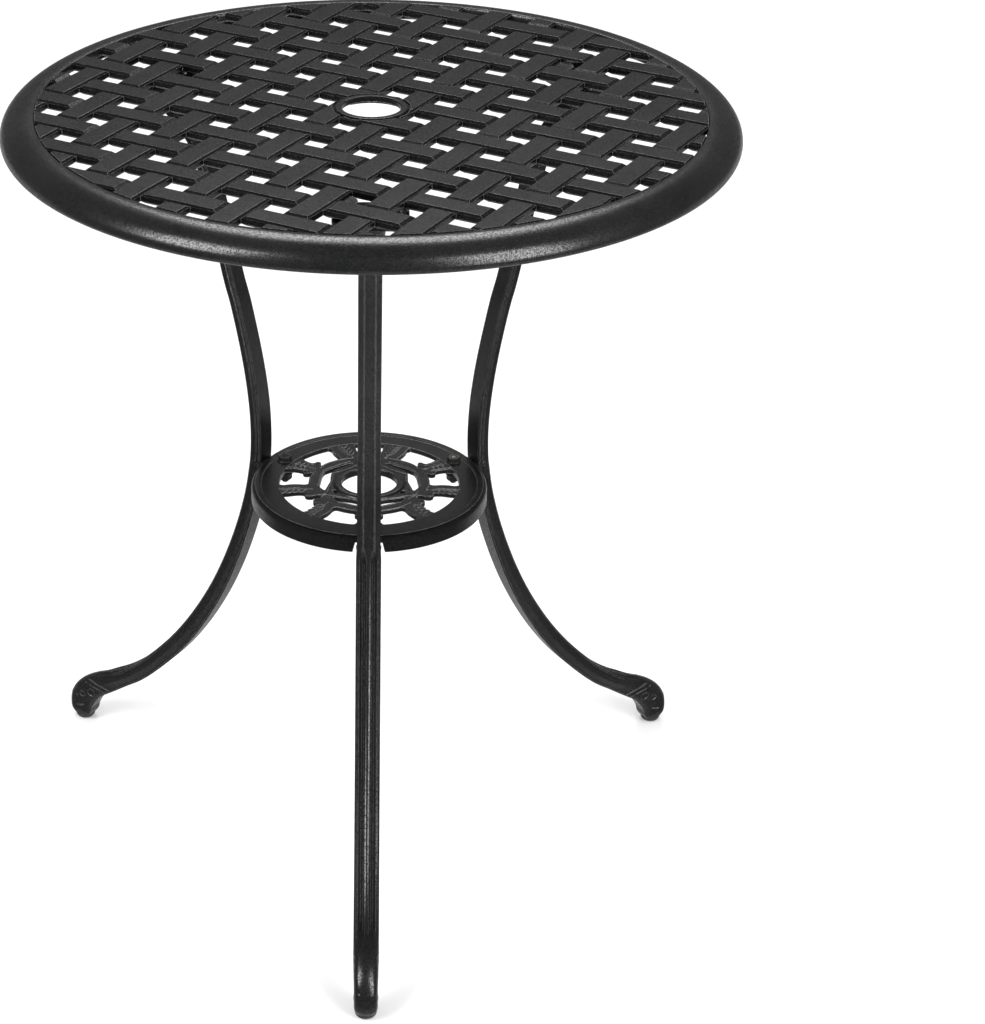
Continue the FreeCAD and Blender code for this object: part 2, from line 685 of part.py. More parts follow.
def shelf_band():
    """The shelf's flat band with its raised lip and its skirt, open where the legs' lugs come in."""
    face = dim("shelf_height")
    low = face - dim("shelf_thickness")
    outer = dim("shelf_radius")
    wall = outer - dim("skirt_wall")
    outline = (
        (dim("band_inner"), low, None),
        (wall, low, None),
        (wall, face - dim("skirt_height"), None),
        (outer, face - dim("skirt_height"), None),
        (outer, face - dim("lip_slope"), None),
        (outer - dim("lip_slope"), face + dim("lip_rise"), None),
        (outer - dim("lip_width") + dim("lip_rise"), face + dim("lip_rise"), None),
        (outer - dim("lip_width"), face, None),
        (dim("band_inner"), face, None),
    )
    ring = revolved("shelf_ring", outline)
    notches = []
    base = val("shelf_height") - val("skirt_height") - OVER
    start = val("shelf_radius") - val("skirt_wall") - OVER
    top_half = val("notch_top") / 2.0
    low_half = val("notch_bottom") / 2.0
    corners = (
        Vector(start, -low_half, base),
        Vector(start, low_half, base),
        Vector(start, top_half, low.value),
        Vector(start, -top_half, low.value),
    )
    for side, direction in LEG_DIRECTIONS:
        outline = feature("notch_%s_face" % side, polygon([turned(corner, direction) for corner in corners]))
        away = turned(Vector(1, 0, 0), direction)
        notches.append(extrusion("notch_" + side, outline, away, dim("skirt_wall") + 3.0 * OVER))
    return cut("shelf_band", ring, fused("notches", notches))


def flat_piece(name, face):
    """A piece of the shelf's ornament, as thick as the band, from its plan."""
    return extrusion(name, feature(name + "_plan", face), Vector(0, 0, 1), "shelf_thickness")


def slit(direction):
    """The plan of one V-shaped slit round the strap, its apex towards a leg."""
    low = val("shelf_height") - val("shelf_thickness")
    apex = val("slit_apex")
    arm = [Vector(apex - distance, across, low) for distance, across in SLIT_ARM]
    mirrored = [Vector(point.x, -point.y, low) for point in reversed(arm)]
    points = [Vector(apex - val("slit_width"), 0, low)] + arm + [Vector(apex, 0, low)] + mirrored
    return polygon([turned(point, direction) for point in points])


def leaf(direction):
    """The plan of a leaf: two arcs from its root in the hub to its tip in the band."""
    low = val("shelf_height") - val("shelf_thickness")
    tip = val("band_inner") + 2.0
    sides = []
    for side in (1.0, -1.0):
        sides.append([turned(Vector(x, side * half, low), direction) for x, half in (
            (LEAF_FOOT, val("leaf_root") / 2.0),
            (LEAF_WAIST, val("leaf_width") / 2.0),
            (tip, val("leaf_tip") / 2.0))])
    left, right = sides
    edges = [Part.Arc(*left).toShape(), Part.Arc(*right).toShape()]
    edges += [Part.makeLine(left[0], right[0]), Part.makeLine(left[2], right[2])]
    return face_of(edges)


def bud(direction):
    """The plan of the bar along a leg's direction, with its two side points."""
    low = val("shelf_height") - val("shelf_thickness")
    right = [Vector(x, -half, low) for x, half in BUD_OUTLINE]
    left = [Vector(x, half, low) for x, half in reversed(BUD_OUTLINE)]
    return polygon([turned(point, direction) for point in right + left])


def eye(direction):
    """The plan of the small eye in a corner of the strap."""
    low = val("shelf_height") - val("shelf_thickness")
    centre = turned(Vector(val("eye_radius"), 0, low), direction)
    across = turned(Vector(0, EYE_SIZE[0], 0), direction)
    ellipse = Part.Ellipse(centre + across, centre + turned(Vector(EYE_SIZE[1], 0, 0), direction), centre)
    return Part.Face(Part.Wire(ellipse.toShape()))


def shelf():
    """The lower shelf in one casting: band, skirt, pole ring, straps, leaves and bars."""
    face = dim("shelf_height")
    low = face - dim("shelf_thickness")
    pole = dim("pole_diameter") * 0.5
    ring_outer = pole + dim("ring_width")
    ring_top = face + dim("ring_rise")
    edge = dim("ring_rise")
    ring = revolved("pole_ring", (
        (pole, low, None),
        (ring_outer, low, None),
        (ring_outer, face, None),
        (ring_outer - edge, ring_top, None),
        (pole, ring_top, None),
    ))
    hub = cylinder("hub", "hub_radius", "shelf_thickness", low)
    well = cylinder("hub_well", pole + dim("ring_width") * 0.5, "shelf_thickness", low)
    pieces = [ring, shelf_band()]
    holes = [well]
    for number, (side, direction) in enumerate(LEG_DIRECTIONS, 1):
        holes.append(flat_piece("slit_%d" % number, slit(direction)))
        pieces.append(flat_piece("bud_%d" % number, bud(direction)))
    for number, direction in enumerate(CORNER_DIRECTIONS, 1):
        holes.append(flat_piece("eye_%d" % number, eye(direction)))
        drop = turned(Vector(val("curl_distance") - val("curl_radius"), 0, 0), direction)
        holes.append(cylinder("drop_%d" % number, "leaf_gap", "shelf_thickness", low, drop.x, drop.y))
        for name, side in (("a", -1.0), ("b", 1.0)):
            pieces.append(flat_piece("leaf_%d%s" % (number, name), leaf(direction + side * val("leaf_turn"))))
            place = turned(Vector(val("curl_distance"), side * val("curl_spread"), 0), direction)
            pieces.append(cylinder("curl_%d%s" % (number, name), "curl_radius", "shelf_thickness", low,
                                   place.x, place.y))
    pierced = cut("hub_pierced", hub, fused("hub_tools", holes))
    blank = fused("shelf_blank", [pierced] + pieces)
    bolt_holes = []
    for side, direction in LEG_DIRECTIONS:
        place = turned(Vector(val("shelf_bolt_radius"), 0, 0), direction)
        radius = dim("shelf_bolt_diameter") * 0.5 + dim("hole_clearance")
        bolt_holes.append(cylinder("shelf_hole_" + side, radius, dim("shelf_thickness") + 2.0 * OVER,
                                   low - OVER, place.x, place.y))
    return cut("shelf", blank, fused("shelf_holes", bolt_holes))


def hexagon(name, flats, height, base, x, y=0.0):
    thing = doc.addObject("Part::Prism", name)
    thing.Polygon = 6
    bind(thing, Circumradius=dim(flats) * (1.0 / math.sqrt(3.0)), Height=height)
    lift(thing, base, x, y)
    return thing


def ring_piece(name, inner, outer, height, base, x, y=0.0):
    """A flat ring, such as a washer."""
    disc = cylinder(name + "_disc", outer, height, base, x, y)
    hole = cylinder(name + "_hole", inner, height, base, x, y)
    return cut(name, disc, hole)


def shelf_fastener():
    """The bolt through the band and the lug, its washer and its nut, towards +X."""
    face = dim("shelf_height")
    place = val("shelf_bolt_radius")
    radius = dim("shelf_bolt_diameter") * 0.5
    seat = face + dim("washer_thickness")
    lug_low = face - dim("shelf_thickness") - dim("lug_thickness")
    nut_low = lug_low - dim("shelf_nut_height")
    shank_low = nut_low - dim("shelf_bolt_excess")
    head = hexagon("shelf_bolt_hex", "shelf_bolt_flats", "shelf_bolt_head", seat, place)
    shank = cylinder("shelf_bolt_shank", radius, seat - shank_low + OVER, shank_low, place)
    bolt = fused("shelf_bolt", [head, shank])
    corner = dim("shelf_bolt_flats") * (1.0 / math.sqrt(3.0))
    washer = ring_piece("shelf_washer", radius + dim("hole_clearance"), corner + dim("washer_margin"),
                        "washer_thickness", face, place)
    nut_blank = hexagon("shelf_nut_hex", "shelf_bolt_flats", "shelf_nut_height", nut_low, place)
    bore = cylinder("shelf_nut_bore", radius + dim("thread_clearance"), "shelf_nut_height", nut_low, place)
    return bolt, washer, cut("shelf_nut", nut_blank, bore)


def pad_bolts():
    """The two bolts of one leg pad, towards +X, up into the bosses of the top."""
    seat = dim("table_height") - dim("strand_depth") - dim("boss_drop") - dim("pad_thickness")
    radius = dim("top_bolt_diameter") * 0.5
    length = dim("pad_thickness") + dim("top_bolt_grip")
    bolts = []
    for number, spread in enumerate((-val("pad_spread"), val("pad_spread")), 1):
        place = (val("pad_radius"), spread)
        head = hexagon("pad_bolt_hex_%d" % number, "top_bolt_flats", "top_bolt_head",
                       seat - dim("top_bolt_head"), *place)
        shank = cylinder("pad_bolt_shank_%d" % number, radius, length + OVER, seat - OVER, *place)
        bolts.append(fused("pad_bolt_%d" % number, [head, shank]))
    group = doc.addObject("Part::Compound", "pad_bolts")
    group.Links = bolts
    return group


def glide():
    """The nylon glide and its steel stud, towards +X."""
    place = val("glide_reach")
    radius = dim("glide_radius")
    edge = dim("glide_bevel")
    height = dim("glide_height")
    seat = dim("glide_seat")
    stud_radius = dim("stud_diameter") * 0.5
    pad = revolved("glide_pad", (
        (0.0, 0.0, None),
        (radius - edge, 0.0, None),
        (radius, edge, None),
        (radius - 0.5, height, None),
        (stud_radius, height, None),
        (stud_radius, seat, None),
        (0.0, seat, None),
    ))
    lift(pad, 0.0, place)
    stud = cylinder("glide_stud", stud_radius, "stud_length", seat, place)
    return pad, stud


def stand(master, label, direction):
    """A finished sub-part, turned to its leg's direction."""
    shape = master.Shape.copy()
    about = Placement(Vector(0, 0, 0), Rotation(Vector(0, 0, 1), direction))
    thing = feature(label + "_node", shape)
    thing.Placement = about.multiply(master.Shape.Placement)
    thing.Label = label
    return thing


def main():
    top = top_casting()
    low_shelf = shelf()
    masters = [("leg", leg())]
    masters += zip(("shelf_bolt", "shelf_washer", "shelf_nut"), shelf_fastener())
    masters.append(("top_bolts", pad_bolts()))
    masters += zip(("glide_pad", "glide_stud"), glide())
    doc.recompute()
    nodes = [top, low_shelf]
    for name, master in masters:
        for side, direction in LEG_DIRECTIONS:
            nodes.append(stand(master, "%s_%s" % (name, side), direction))
    doc.recompute()
    for thing in doc.Objects:
        if "Invalid" in thing.State or "Error" in thing.State:
            raise RuntimeError("%s is %s" % (thing.Name, thing.State))
    for node in nodes:
        if node.Shape.isNull() or not node.Shape.isValid():
            raise RuntimeError("%s has no valid shape" % node.Label)
    os.makedirs("parts", exist_ok=True)
    for node in nodes:
        node.Shape.exportStep("parts/%s.step" % node.Label)
        print(node.Label, len(node.Shape.Solids), "solids", round(node.Shape.Volume / 1000.0, 2), "cm3")


main()
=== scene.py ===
# %% [markdown]
# # A round umbrella table of cast aluminium
#
# The real object is a patio side table, 635 mm across and 711 mm high. Its top is one casting that looks like
# a basket weave, with a hole for an umbrella pole. Three S-curved legs carry it, and a small pierced shelf
# braces them at half height. Everything is coated with satin black powder.
#
# The CAD model fixes the sizes and what moves. This lesson builds the looks round it, piece by piece, in the
# same frame: the floor is z = 0, the pole's axis is the z axis, and one foot points to the camera along -y.

# %% Load the frame
import math

import bmesh
import bpy
from mathutils import Matrix, Vector


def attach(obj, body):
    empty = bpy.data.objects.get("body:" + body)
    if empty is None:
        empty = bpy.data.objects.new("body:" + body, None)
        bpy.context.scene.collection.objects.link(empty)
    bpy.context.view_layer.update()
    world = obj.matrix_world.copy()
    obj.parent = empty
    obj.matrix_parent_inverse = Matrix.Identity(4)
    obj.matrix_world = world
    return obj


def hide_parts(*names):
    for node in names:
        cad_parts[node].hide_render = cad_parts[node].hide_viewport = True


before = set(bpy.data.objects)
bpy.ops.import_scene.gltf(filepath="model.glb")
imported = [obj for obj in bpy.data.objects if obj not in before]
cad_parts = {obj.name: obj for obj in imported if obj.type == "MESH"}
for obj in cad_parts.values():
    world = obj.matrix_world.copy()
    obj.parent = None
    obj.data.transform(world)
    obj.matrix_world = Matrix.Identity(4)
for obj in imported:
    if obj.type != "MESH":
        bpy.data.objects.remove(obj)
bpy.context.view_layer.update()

# %% [markdown]
# ## The dimensions and the three directions
#
# A casting is drawn once and then repeated round the pole. Numbers that return in several pieces are named
# here. All shapes are drawn in millimetres, as a maker would, and become metres when a piece is finished.

# %% Sizes and directions shared by the pieces
MM = 0.001
TOP_Z = 711.2
RIM_R = 317.5
LATTICE_R = 287.5
POLE_R = 25.4
BAND_Z = 350.0
PAD_BOLT_R, PAD_BOLT_SPREAD = 208.0, 20.0
LEGS = {"front": -90.0, "right": 30.0, "left": 150.0}
REAR_CORNER = 90.0
CORNERS = (REAR_CORNER, 210.0, 330.0)
print("legs at", LEGS)

# %% [markdown]
# ## Finishing a piece
#
# Every piece starts as a bmesh. Finishing it means the same steps each time: weld, point the normals outward,
# scale to metres, shade smooth with sharp edges where the metal turns, and let it ride on its CAD body. They
# could be written out for each piece, but one function keeps the pieces alike.

# %% Finish a piece
def finish(name, bm, material, body="table", replaces=(), crease=29.0):
    """Turn a bmesh in millimetres into a finished object that rides on a CAD body."""
    bmesh.ops.remove_doubles(bm, verts=bm.verts, dist=0.002)
    bmesh.ops.recalc_face_normals(bm, faces=bm.faces)
    bmesh.ops.scale(bm, vec=(MM, MM, MM), verts=bm.verts)
    mesh = bpy.data.meshes.new(name)
    bm.to_mesh(mesh)
    bm.free()
    mesh.shade_smooth()
    mesh.set_sharp_from_angle(angle=math.radians(crease))
    mesh.materials.append(material)
    piece = bpy.data.objects.new(name, mesh)
    bpy.context.scene.collection.objects.link(piece)
    weighted = piece.modifiers.new("face_weights", "WEIGHTED_NORMAL")
    weighted.keep_sharp = True
    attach(piece, body)
    if replaces:
        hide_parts(*replaces)
    print(name, len(mesh.polygons), "faces")


print("pieces are drawn in millimetres and scaled by", MM)

# %% [markdown]
# ## The effects of the finishes
#
# Powder coat is a plastic skin that was melted on the casting: a fine orange-peel grain, a sheen that is a
# little uneven and light specks. Its crisp edges catch the light as thin bright lines. These are a painted
# highlight: a lighter colour along the edges. The same edge effect marks the worn edges of the steel.
# A picture of such a surface could be wrapped round the pieces, but it would stretch on the curves. Noise
# in the object's own coordinates doesn't. Each effect is a node group that gives one value, and a material
# places it with its own numbers.

# %% Nodes by name
def feed(tree, socket, item):
    """Link an input to another node's output, or set it to a constant."""
    if isinstance(item, bpy.types.NodeSocket):
        tree.links.new(item, socket)
    else:
        socket.default_value = item


def add(tree, kind, **values):
    """A node whose inputs are fed by name, with spaces written as underscores."""
    node = tree.nodes.new(kind)
    for label, item in values.items():
        feed(tree, node.inputs[label.replace("_", " ")], item)
    return node


def ramp(tree, value, low, high, first=0.0, last=1.0):
    """A value stretched from low..high to first..last and held there."""
    node = add(tree, "ShaderNodeMapRange", Value=value, From_Min=low, From_Max=high, To_Min=first,
               To_Max=last)
    return node.outputs["Result"]


def combine(tree, operation, a, b):
    """Two values, or a value and a constant, through one Math node."""
    node = tree.nodes.new("ShaderNodeMath")
    node.operation = operation
    feed(tree, node.inputs[0], a)
    feed(tree, node.inputs[1], b)
    return node.outputs["Value"]


def noise(tree, scale, detail, roughness=0.5):
    """Noise in the object's own coordinates."""
    coordinates = tree.nodes.new("ShaderNodeTexCoord")
    node = add(tree, "ShaderNodeTexNoise", Vector=coordinates.outputs["Object"], Scale=scale, Detail=detail,
               Roughness=roughness)
    return node.outputs["Fac"]


print("nodes can be fed by name")

# %% Effects as node groups
def value_group(name, build, **inputs):
    """A node group with named number inputs and one output called Value."""
    group = bpy.data.node_groups.new(name, "ShaderNodeTree")
    for label, default in inputs.items():
        socket = group.interface.new_socket(label.replace("_", " "), in_out="INPUT",
                                            socket_type="NodeSocketFloat")
        socket.default_value = default
    group.interface.new_socket("Value", in_out="OUTPUT", socket_type="NodeSocketFloat")
    asked = group.nodes.new("NodeGroupInput").outputs
    result = group.nodes.new("NodeGroupOutput")
    group.links.new(build(group, asked), result.inputs["Value"])
    return group


def build_grain(tree, asked):
    """The orange peel: mostly fine, partly coarse."""
    fine = noise(tree, asked["Fine Scale"], 1.0)
    coarse = noise(tree, asked["Coarse Scale"], 1.0)
    return combine(tree, "ADD", combine(tree, "MULTIPLY", fine, 0.7), combine(tree, "MULTIPLY", coarse, 0.3))


def build_clouds(tree, asked):
    """Soft patches as wide as a hand, for a sheen and a colour that aren't quite even."""
    return ramp(tree, noise(tree, asked["Scale"], 4.0, 0.62), 0.36, 0.66)


def build_speckle(tree, asked):
    """Single specks where the noise is high."""
    return ramp(tree, noise(tree, asked["Scale"], 1.0), 0.56, 0.74)


def build_edge_highlight_and_wear(tree, asked):
    """Bright where a rounded normal differs from the true one, so along the edges: a painted highlight on the
    coat, worn metal on the steel.
    """
    geometry = tree.nodes.new("ShaderNodeNewGeometry")
    bevel = add(tree, "ShaderNodeBevel", Radius=asked["Radius"])
    likeness = tree.nodes.new("ShaderNodeVectorMath")
    likeness.operation = "DOT_PRODUCT"
    feed(tree, likeness.inputs[0], geometry.outputs["Normal"])
    feed(tree, likeness.inputs[1], bevel.outputs["Normal"])
    return ramp(tree, likeness.outputs["Value"], asked["Faint"], asked["Full"])


grain = value_group("orange_peel_grain", build_grain, Fine_Scale=880.0, Coarse_Scale=460.0)
clouds = value_group("uneven_sheen", build_clouds, Scale=14.0)
speckle = value_group("light_speckle", build_speckle, Scale=900.0)
# Along the edges: a painted highlight on the coat, worn bare metal on the steel.
edge_wear = value_group("edge_wear", build_edge_highlight_and_wear, Radius=0.0009, Faint=0.985, Full=0.935)
print("effects:", [group.name for group in (grain, clouds, speckle, edge_wear)])

# %% Groups and colours in a material
def new_material(name):
    material = bpy.data.materials.new(name)
    material.use_nodes = True
    tree = material.node_tree
    return material, tree, tree.nodes["Principled BSDF"]


def effect(tree, group, **values):
    """Place an effect in a material, with its own values."""
    node = tree.nodes.new("ShaderNodeGroup")
    node.node_tree = group
    for label, value in values.items():
        node.inputs[label.replace("_", " ")].default_value = value
    return node.outputs["Value"]


def grey(tone, warmth=1.0):
    """A neutral colour, whose blue may be a little weaker."""
    return tone, tone, tone * warmth, 1


def mixed(tree, factor, first, second):
    """A colour between two."""
    node = tree.nodes.new("ShaderNodeMix")
    node.data_type = "RGBA"
    feed(tree, node.inputs["Factor"], factor)
    for label, item in (("A", first), ("B", second)):
        feed(tree, [s for s in node.inputs if s.name == label and s.type == "RGBA"][0], item)
    return [s for s in node.outputs if s.type == "RGBA"][0]


def bumped(tree, surface, height, strength, distance):
    """Let a height roughen the surface."""
    bump = add(tree, "ShaderNodeBump", Strength=strength, Distance=distance, Height=height)
    feed(tree, surface.inputs["Normal"], bump.outputs["Normal"])


print("effects can be placed")

# %% [markdown]
# ## The powder coat
#
# The coat is nearly black, so what the eye sees is its gloss. One gloss for the whole surface looks like wet
# paint. The grain therefore drives how much clear coat lies on top, which breaks a highlight into fine
# specks, as the orange peel does. Along the crisp edges a lighter colour is a painted highlight, the thin
# bright lines where the edges catch the light. The legs have the same coat with a narrower and darker
# painted highlight, because their beads and flutes would else be outlined in grey.

# %% Powder coat
def powder_coat(name, edge_width, edge_highlight_tone):
    """Black powder coat whose crisp edges get a lighter colour as a painted highlight."""
    material, tree, surface = new_material(name)
    cloud, dots, peel = (effect(tree, group) for group in (clouds, speckle, grain))
    base = mixed(tree, cloud, (0.0052, 0.0054, 0.0054, 1), (0.0082, 0.0085, 0.0083, 1))
    dotted = mixed(tree, combine(tree, "MULTIPLY", dots, 0.35), base, (0.036, 0.036, 0.035, 1))
    # A lighter colour along the crisp edges, speckled by the grain: a painted highlight.
    wear_and_highlight_mask = effect(tree, edge_wear, Radius=edge_width)
    edges = combine(tree, "MULTIPLY", wear_and_highlight_mask, ramp(tree, peel, 0.38, 0.62, 0.2, 1.0))
    feed(tree, surface.inputs["Base Color"], mixed(tree, edges, dotted, grey(edge_highlight_tone, 0.98)))
    rough = ramp(tree, cloud, 0.0, 1.0, 0.22, 0.27)
    smoother = combine(tree, "MULTIPLY", dots, -0.05)
    feed(tree, surface.inputs["Roughness"], combine(tree, "ADD", rough, smoother))
    surface.inputs["Specular IOR Level"].default_value = 0.22
    surface.inputs["Coat Roughness"].default_value = 0.24
    surface.inputs["Coat IOR"].default_value = 1.6
    feed(tree, surface.inputs["Coat Weight"], ramp(tree, peel, 0.40, 0.60))
    bumped(tree, surface, peel, 0.9, 0.0002)
    return material


# The last number of each coat is the grey of its painted edge highlight.
coat = powder_coat("satin_black_powder_coat", 0.0009, 0.36)
leg_coat = powder_coat("satin_black_leg_coat", 0.0005, 0.16)
print("coats:", coat.name, leg_coat.name)

# %% [markdown]
# ## Steel and nylon
#
# The bolts are stainless steel that was blackened by a dip, so the metal shows at their worn edges. The
# glides are moulded nylon, dull and a little greyer than the coat. Both use the same effects as the coat,
# because they are seen beside it and have to share its scale.

# %% Blackened steel
steel, tree, surface = new_material("blackened_steel")
cloud, dots = effect(tree, clouds), effect(tree, speckle)
base = mixed(tree, cloud, (0.045, 0.044, 0.043, 1), (0.085, 0.083, 0.080, 1))
wear_and_highlight_mask = effect(tree, edge_wear, Radius=0.0004, Faint=1.0, Full=0.75)
worn = mixed(tree, combine(tree, "MULTIPLY", wear_and_highlight_mask, 0.6), base, (0.32, 0.31, 0.30, 1))
feed(tree, surface.inputs["Base Color"], worn)
surface.inputs["Metallic"].default_value = 0.85
feed(tree, surface.inputs["Roughness"], ramp(tree, dots, 0.0, 1.0, 0.36, 0.48))
bumped(tree, surface, dots, 0.3, 0.00005)
print("metal:", steel.name)

# %% Black nylon
nylon, tree, surface = new_material("black_nylon")
cloud, peel = effect(tree, clouds), effect(tree, grain)
base = mixed(tree, cloud, (0.018, 0.018, 0.019, 1), (0.034, 0.034, 0.035, 1))
feed(tree, surface.inputs["Base Color"], base)
feed(tree, surface.inputs["Roughness"], ramp(tree, cloud, 0.0, 1.0, 0.55, 0.68))
bumped(tree, surface, peel, 0.4, 0.00008)
print("plastic:", nylon.name)

# %% [markdown]
# ## The woven top
#
# On the real table the weave is cast in one piece: each strand looks as if it passes over one crossing strand
# and then dips under the next. It could be made from many separate blocks, but they would have to be welded.
# A square grid gives the same thing in one sheet: each crossing joins with the two links beside it along the
# strand that is on top. The block's long edges are rounded by repeated insets, and its ends slope down to
# where it dips.

# %% The grid of strands
PITCH = 46.9
STRAND_HALF = 11.3
EDGE_DEPTH = 1.9
REACH = 7


def grid_line(value, cells):
    """The place of a grid line: both sides of each strand."""
    index = round((value + 1.0) * 0.5 * cells)
    side = STRAND_HALF if index % 2 else -STRAND_HALF
    return (index // 2 - REACH + 0.5) * PITCH + side


def strand_grid():
    """A grid with a face for each crossing and each link, and without the holes between them."""
    bm = bmesh.new()
    cells = 4 * REACH - 1
    bmesh.ops.create_grid(bm, x_segments=cells, y_segments=cells, size=1.0)
    for vert in bm.verts:
        vert.co = (grid_line(vert.co.x, cells), grid_line(vert.co.y, cells), -EDGE_DEPTH)
    holes, crossings = [], {}
    for face in bm.faces:
        c = face.calc_center_median()
        i, j = (round(v / PITCH - 0.5) for v in c.xy)
        link_x = abs(c.x - (i + 0.5) * PITCH) > STRAND_HALF
        link_y = abs(c.y - (j + 0.5) * PITCH) > STRAND_HALF
        if link_x and link_y:
            holes.append(face)
        elif not link_x and not link_y:
            crossings[(i, j)] = face
    bmesh.ops.delete(bm, geom=holes, context="FACES")
    return bm, crossings


print("strands", 2 * STRAND_HALF, "mm wide, every", PITCH, "mm")

# %% Blocks that pass over and under
def weave_sheet():
    """The top skin of the weave: each crossing becomes one face with its two links."""
    bm, crossings = strand_grid()
    blocks = []
    for (i, j), face in crossings.items():
        upright = (i + j) % 2 == 0
        group = [face]
        for edge in face.edges:
            middle = (edge.verts[0].co + edge.verts[1].co) * 0.5
            off = abs(middle.y - (j + 0.5) * PITCH) if upright else abs(middle.x - (i + 0.5) * PITCH)
            if off > STRAND_HALF * 0.5:
                group += [other for other in edge.link_faces if other is not face]
        blocks.append((i, j, upright, group))
    tops = []
    for i, j, upright, group in blocks:
        region = bmesh.ops.dissolve_faces(bm, faces=group, use_verts=False)["region"]
        tops.append((i, j, upright, region[0]))
    return bm, tops


# Each inset of a block: its distance from the edge and the depth of the new ring.
ROUNDING = ((0.08, -1.72), (0.26, -1.46), (1.56, -0.16), (1.76, -0.04), (2.05, 0.0))
END_SLOPE = 2.0
END_ZONE = 8.0


def round_blocks(bm, tops):
    """Inset each block step by step and set the depth of each new ring."""
    faces = [face for i, j, upright, face in tops]
    before = 0.0
    for offset, depth in ROUNDING:
        bmesh.ops.inset_individual(bm, faces=faces, thickness=offset - before, use_even_offset=True)
        before = offset
        for i, j, upright, face in tops:
            centre = Vector(((i + 0.5) * PITCH, (j + 0.5) * PITCH))
            along = 1 if upright else 0
            end = PITCH - STRAND_HALF - (EDGE_DEPTH + depth) * END_SLOPE
            for vert in face.verts:
                local = [vert.co.x - centre.x, vert.co.y - centre.y]
                if abs(local[along]) > STRAND_HALF + END_ZONE:
                    local[along] = math.copysign(end, local[along])
                vert.co = (centre.x + local[0], centre.y + local[1], depth)


print(len(ROUNDING), "insets round each block")

# %% The slab: the sheet above, its mirror image below, and walls between
SLAB = 8.0
WEAVE_TURN = math.radians(-29.3)
slab, tops = weave_sheet()
round_blocks(slab, tops)
grown = bmesh.ops.extrude_face_region(slab, geom=slab.faces[:], use_keep_orig=True)
lower = [item for item in grown["geom"] if isinstance(item, bmesh.types.BMVert)]
for vert in lower:
    vert.co.z = -SLAB - vert.co.z
bmesh.ops.rotate(slab, verts=slab.verts, cent=(0, 0, 0), matrix=Matrix.Rotation(WEAVE_TURN, 3, "Z"))
print("slab", SLAB, "mm thick,", len(slab.faces), "faces")

# %% Turned shapes and cuts
def spun(profile, steps):
    """A closed outline of radius and height, turned once round the z axis."""
    bm = bmesh.new()
    verts = [bm.verts.new((r, 0, z)) for r, z in profile]
    edges = [bm.edges.new((verts[k - 1], verts[k])) for k in range(len(verts))]
    bmesh.ops.spin(bm, geom=verts + edges, cent=(0, 0, 0), axis=(0, 0, 1), dvec=(0, 0, 0),
                   angle=2 * math.pi, steps=steps, use_merge=True, use_duplicate=False)
    return bm


def boolean(target, tool, operation):
    """Target and tool are closed bmeshes; the exact solver cuts or keeps."""
    things = []
    for name, bm in (("target", target), ("tool", tool)):
        bmesh.ops.recalc_face_normals(bm, faces=bm.faces)
        mesh = bpy.data.meshes.new(name)
        bm.to_mesh(mesh)
        bm.free()
        thing = bpy.data.objects.new(name, mesh)
        bpy.context.scene.collection.objects.link(thing)
        things.append(thing)
    modifier = things[0].modifiers.new("cut", "BOOLEAN")
    modifier.operation = operation
    modifier.solver = "EXACT"
    modifier.object = things[1]
    evaluated = things[0].evaluated_get(bpy.context.evaluated_depsgraph_get())
    result = bmesh.new()
    result.from_mesh(evaluated.to_mesh())
    evaluated.to_mesh_clear()
    for thing in things:
        mesh = thing.data
        bpy.data.objects.remove(thing)
        bpy.data.meshes.remove(mesh)
    return result


def moved(bm, x, y, z):
    bmesh.ops.translate(bm, verts=bm.verts, vec=(x, y, z))
    return bm


print("shapes can be turned and cut")

# %% The lattice, trimmed to a ring
# What is kept of the slab, as radius and height: a groove round the collar, and a step into the rim.
KEPT = ((31.5, -SLAB - 2), (31.5, -2.4), (33.5, -2.4), (33.8, -0.4), (34.2, 2.0), (LATTICE_R, 2.0),
        (LATTICE_R, -1.95), (LATTICE_R + 1.5, -1.95), (LATTICE_R + 1.5, -SLAB - 2))
lattice = moved(boolean(slab, spun(KEPT, 256), "INTERSECT"), 0, 0, TOP_Z)
finish("top_lattice", lattice, coat, replaces=("table_top",), crease=27.0)

# %% [markdown]
# ## The rim
#
# The strands end in a hollow rim that curls over and under, so that the edge looks thick and the casting
# stays light. A tube bent to a ring would have the wrong section. The rim is a shape of rotation, so its
# outline is drawn once and spun: a groove beside the strands, a small crest, a long rounded fall to the
# widest place, and a lip that curls back under.

# %% The rim
def arc(cx, cz, rx, rz, first, last, count):
    """Points of an elliptic arc, with the angles in degrees."""
    points = []
    for k in range(count):
        a = math.radians(first + (last - first) * k / (count - 1))
        points.append((cx + rx * math.cos(a), cz + rz * math.sin(a)))
    return points


RIM_CENTRE_R, RIM_CENTRE_Z = 291.0, -17.8
LIP_ROUND = 5.6
outside = [(287.6, -2.4), (287.75, -1.4), (288.2, -0.8), (288.9, -0.45)]
outside += arc(RIM_CENTRE_R, RIM_CENTRE_Z, 26.5, 17.6, 88, 0, 24)
outside += arc(RIM_R - LIP_ROUND, RIM_CENTRE_Z, LIP_ROUND, LIP_ROUND, -8, -90, 9)
lip = [(310.6, -23.35), (309.9, -23.0), (309.6, -22.4), (309.9, -21.7)]
inside = [(311.4, -21.0), (312.9, -19.7)] + arc(RIM_CENTRE_R, RIM_CENTRE_Z, 22.7, 13.4, 0, 80, 12)
inside += [(289.5, -5.6), (288.6, -7.8), (287.2, -7.8), (286.9, -5.0)]
rim = moved(spun(outside + lip + inside, 256), 0, 0, TOP_Z)
finish("top_rim", rim, coat, replaces=("table_top",), crease=40.0)

# %% [markdown]
# ## The collar of the umbrella hole and the bosses
#
# A ring frames the two-inch hole. It stands half a millimetre proud and its edges are rounded, so that the
# pole slides in without catching. Under the weave, two bosses for each leg take its bolts. The collar is
# turned like the rim, and a boss is a slightly tapered cylinder, because a pattern has to leave the sand.

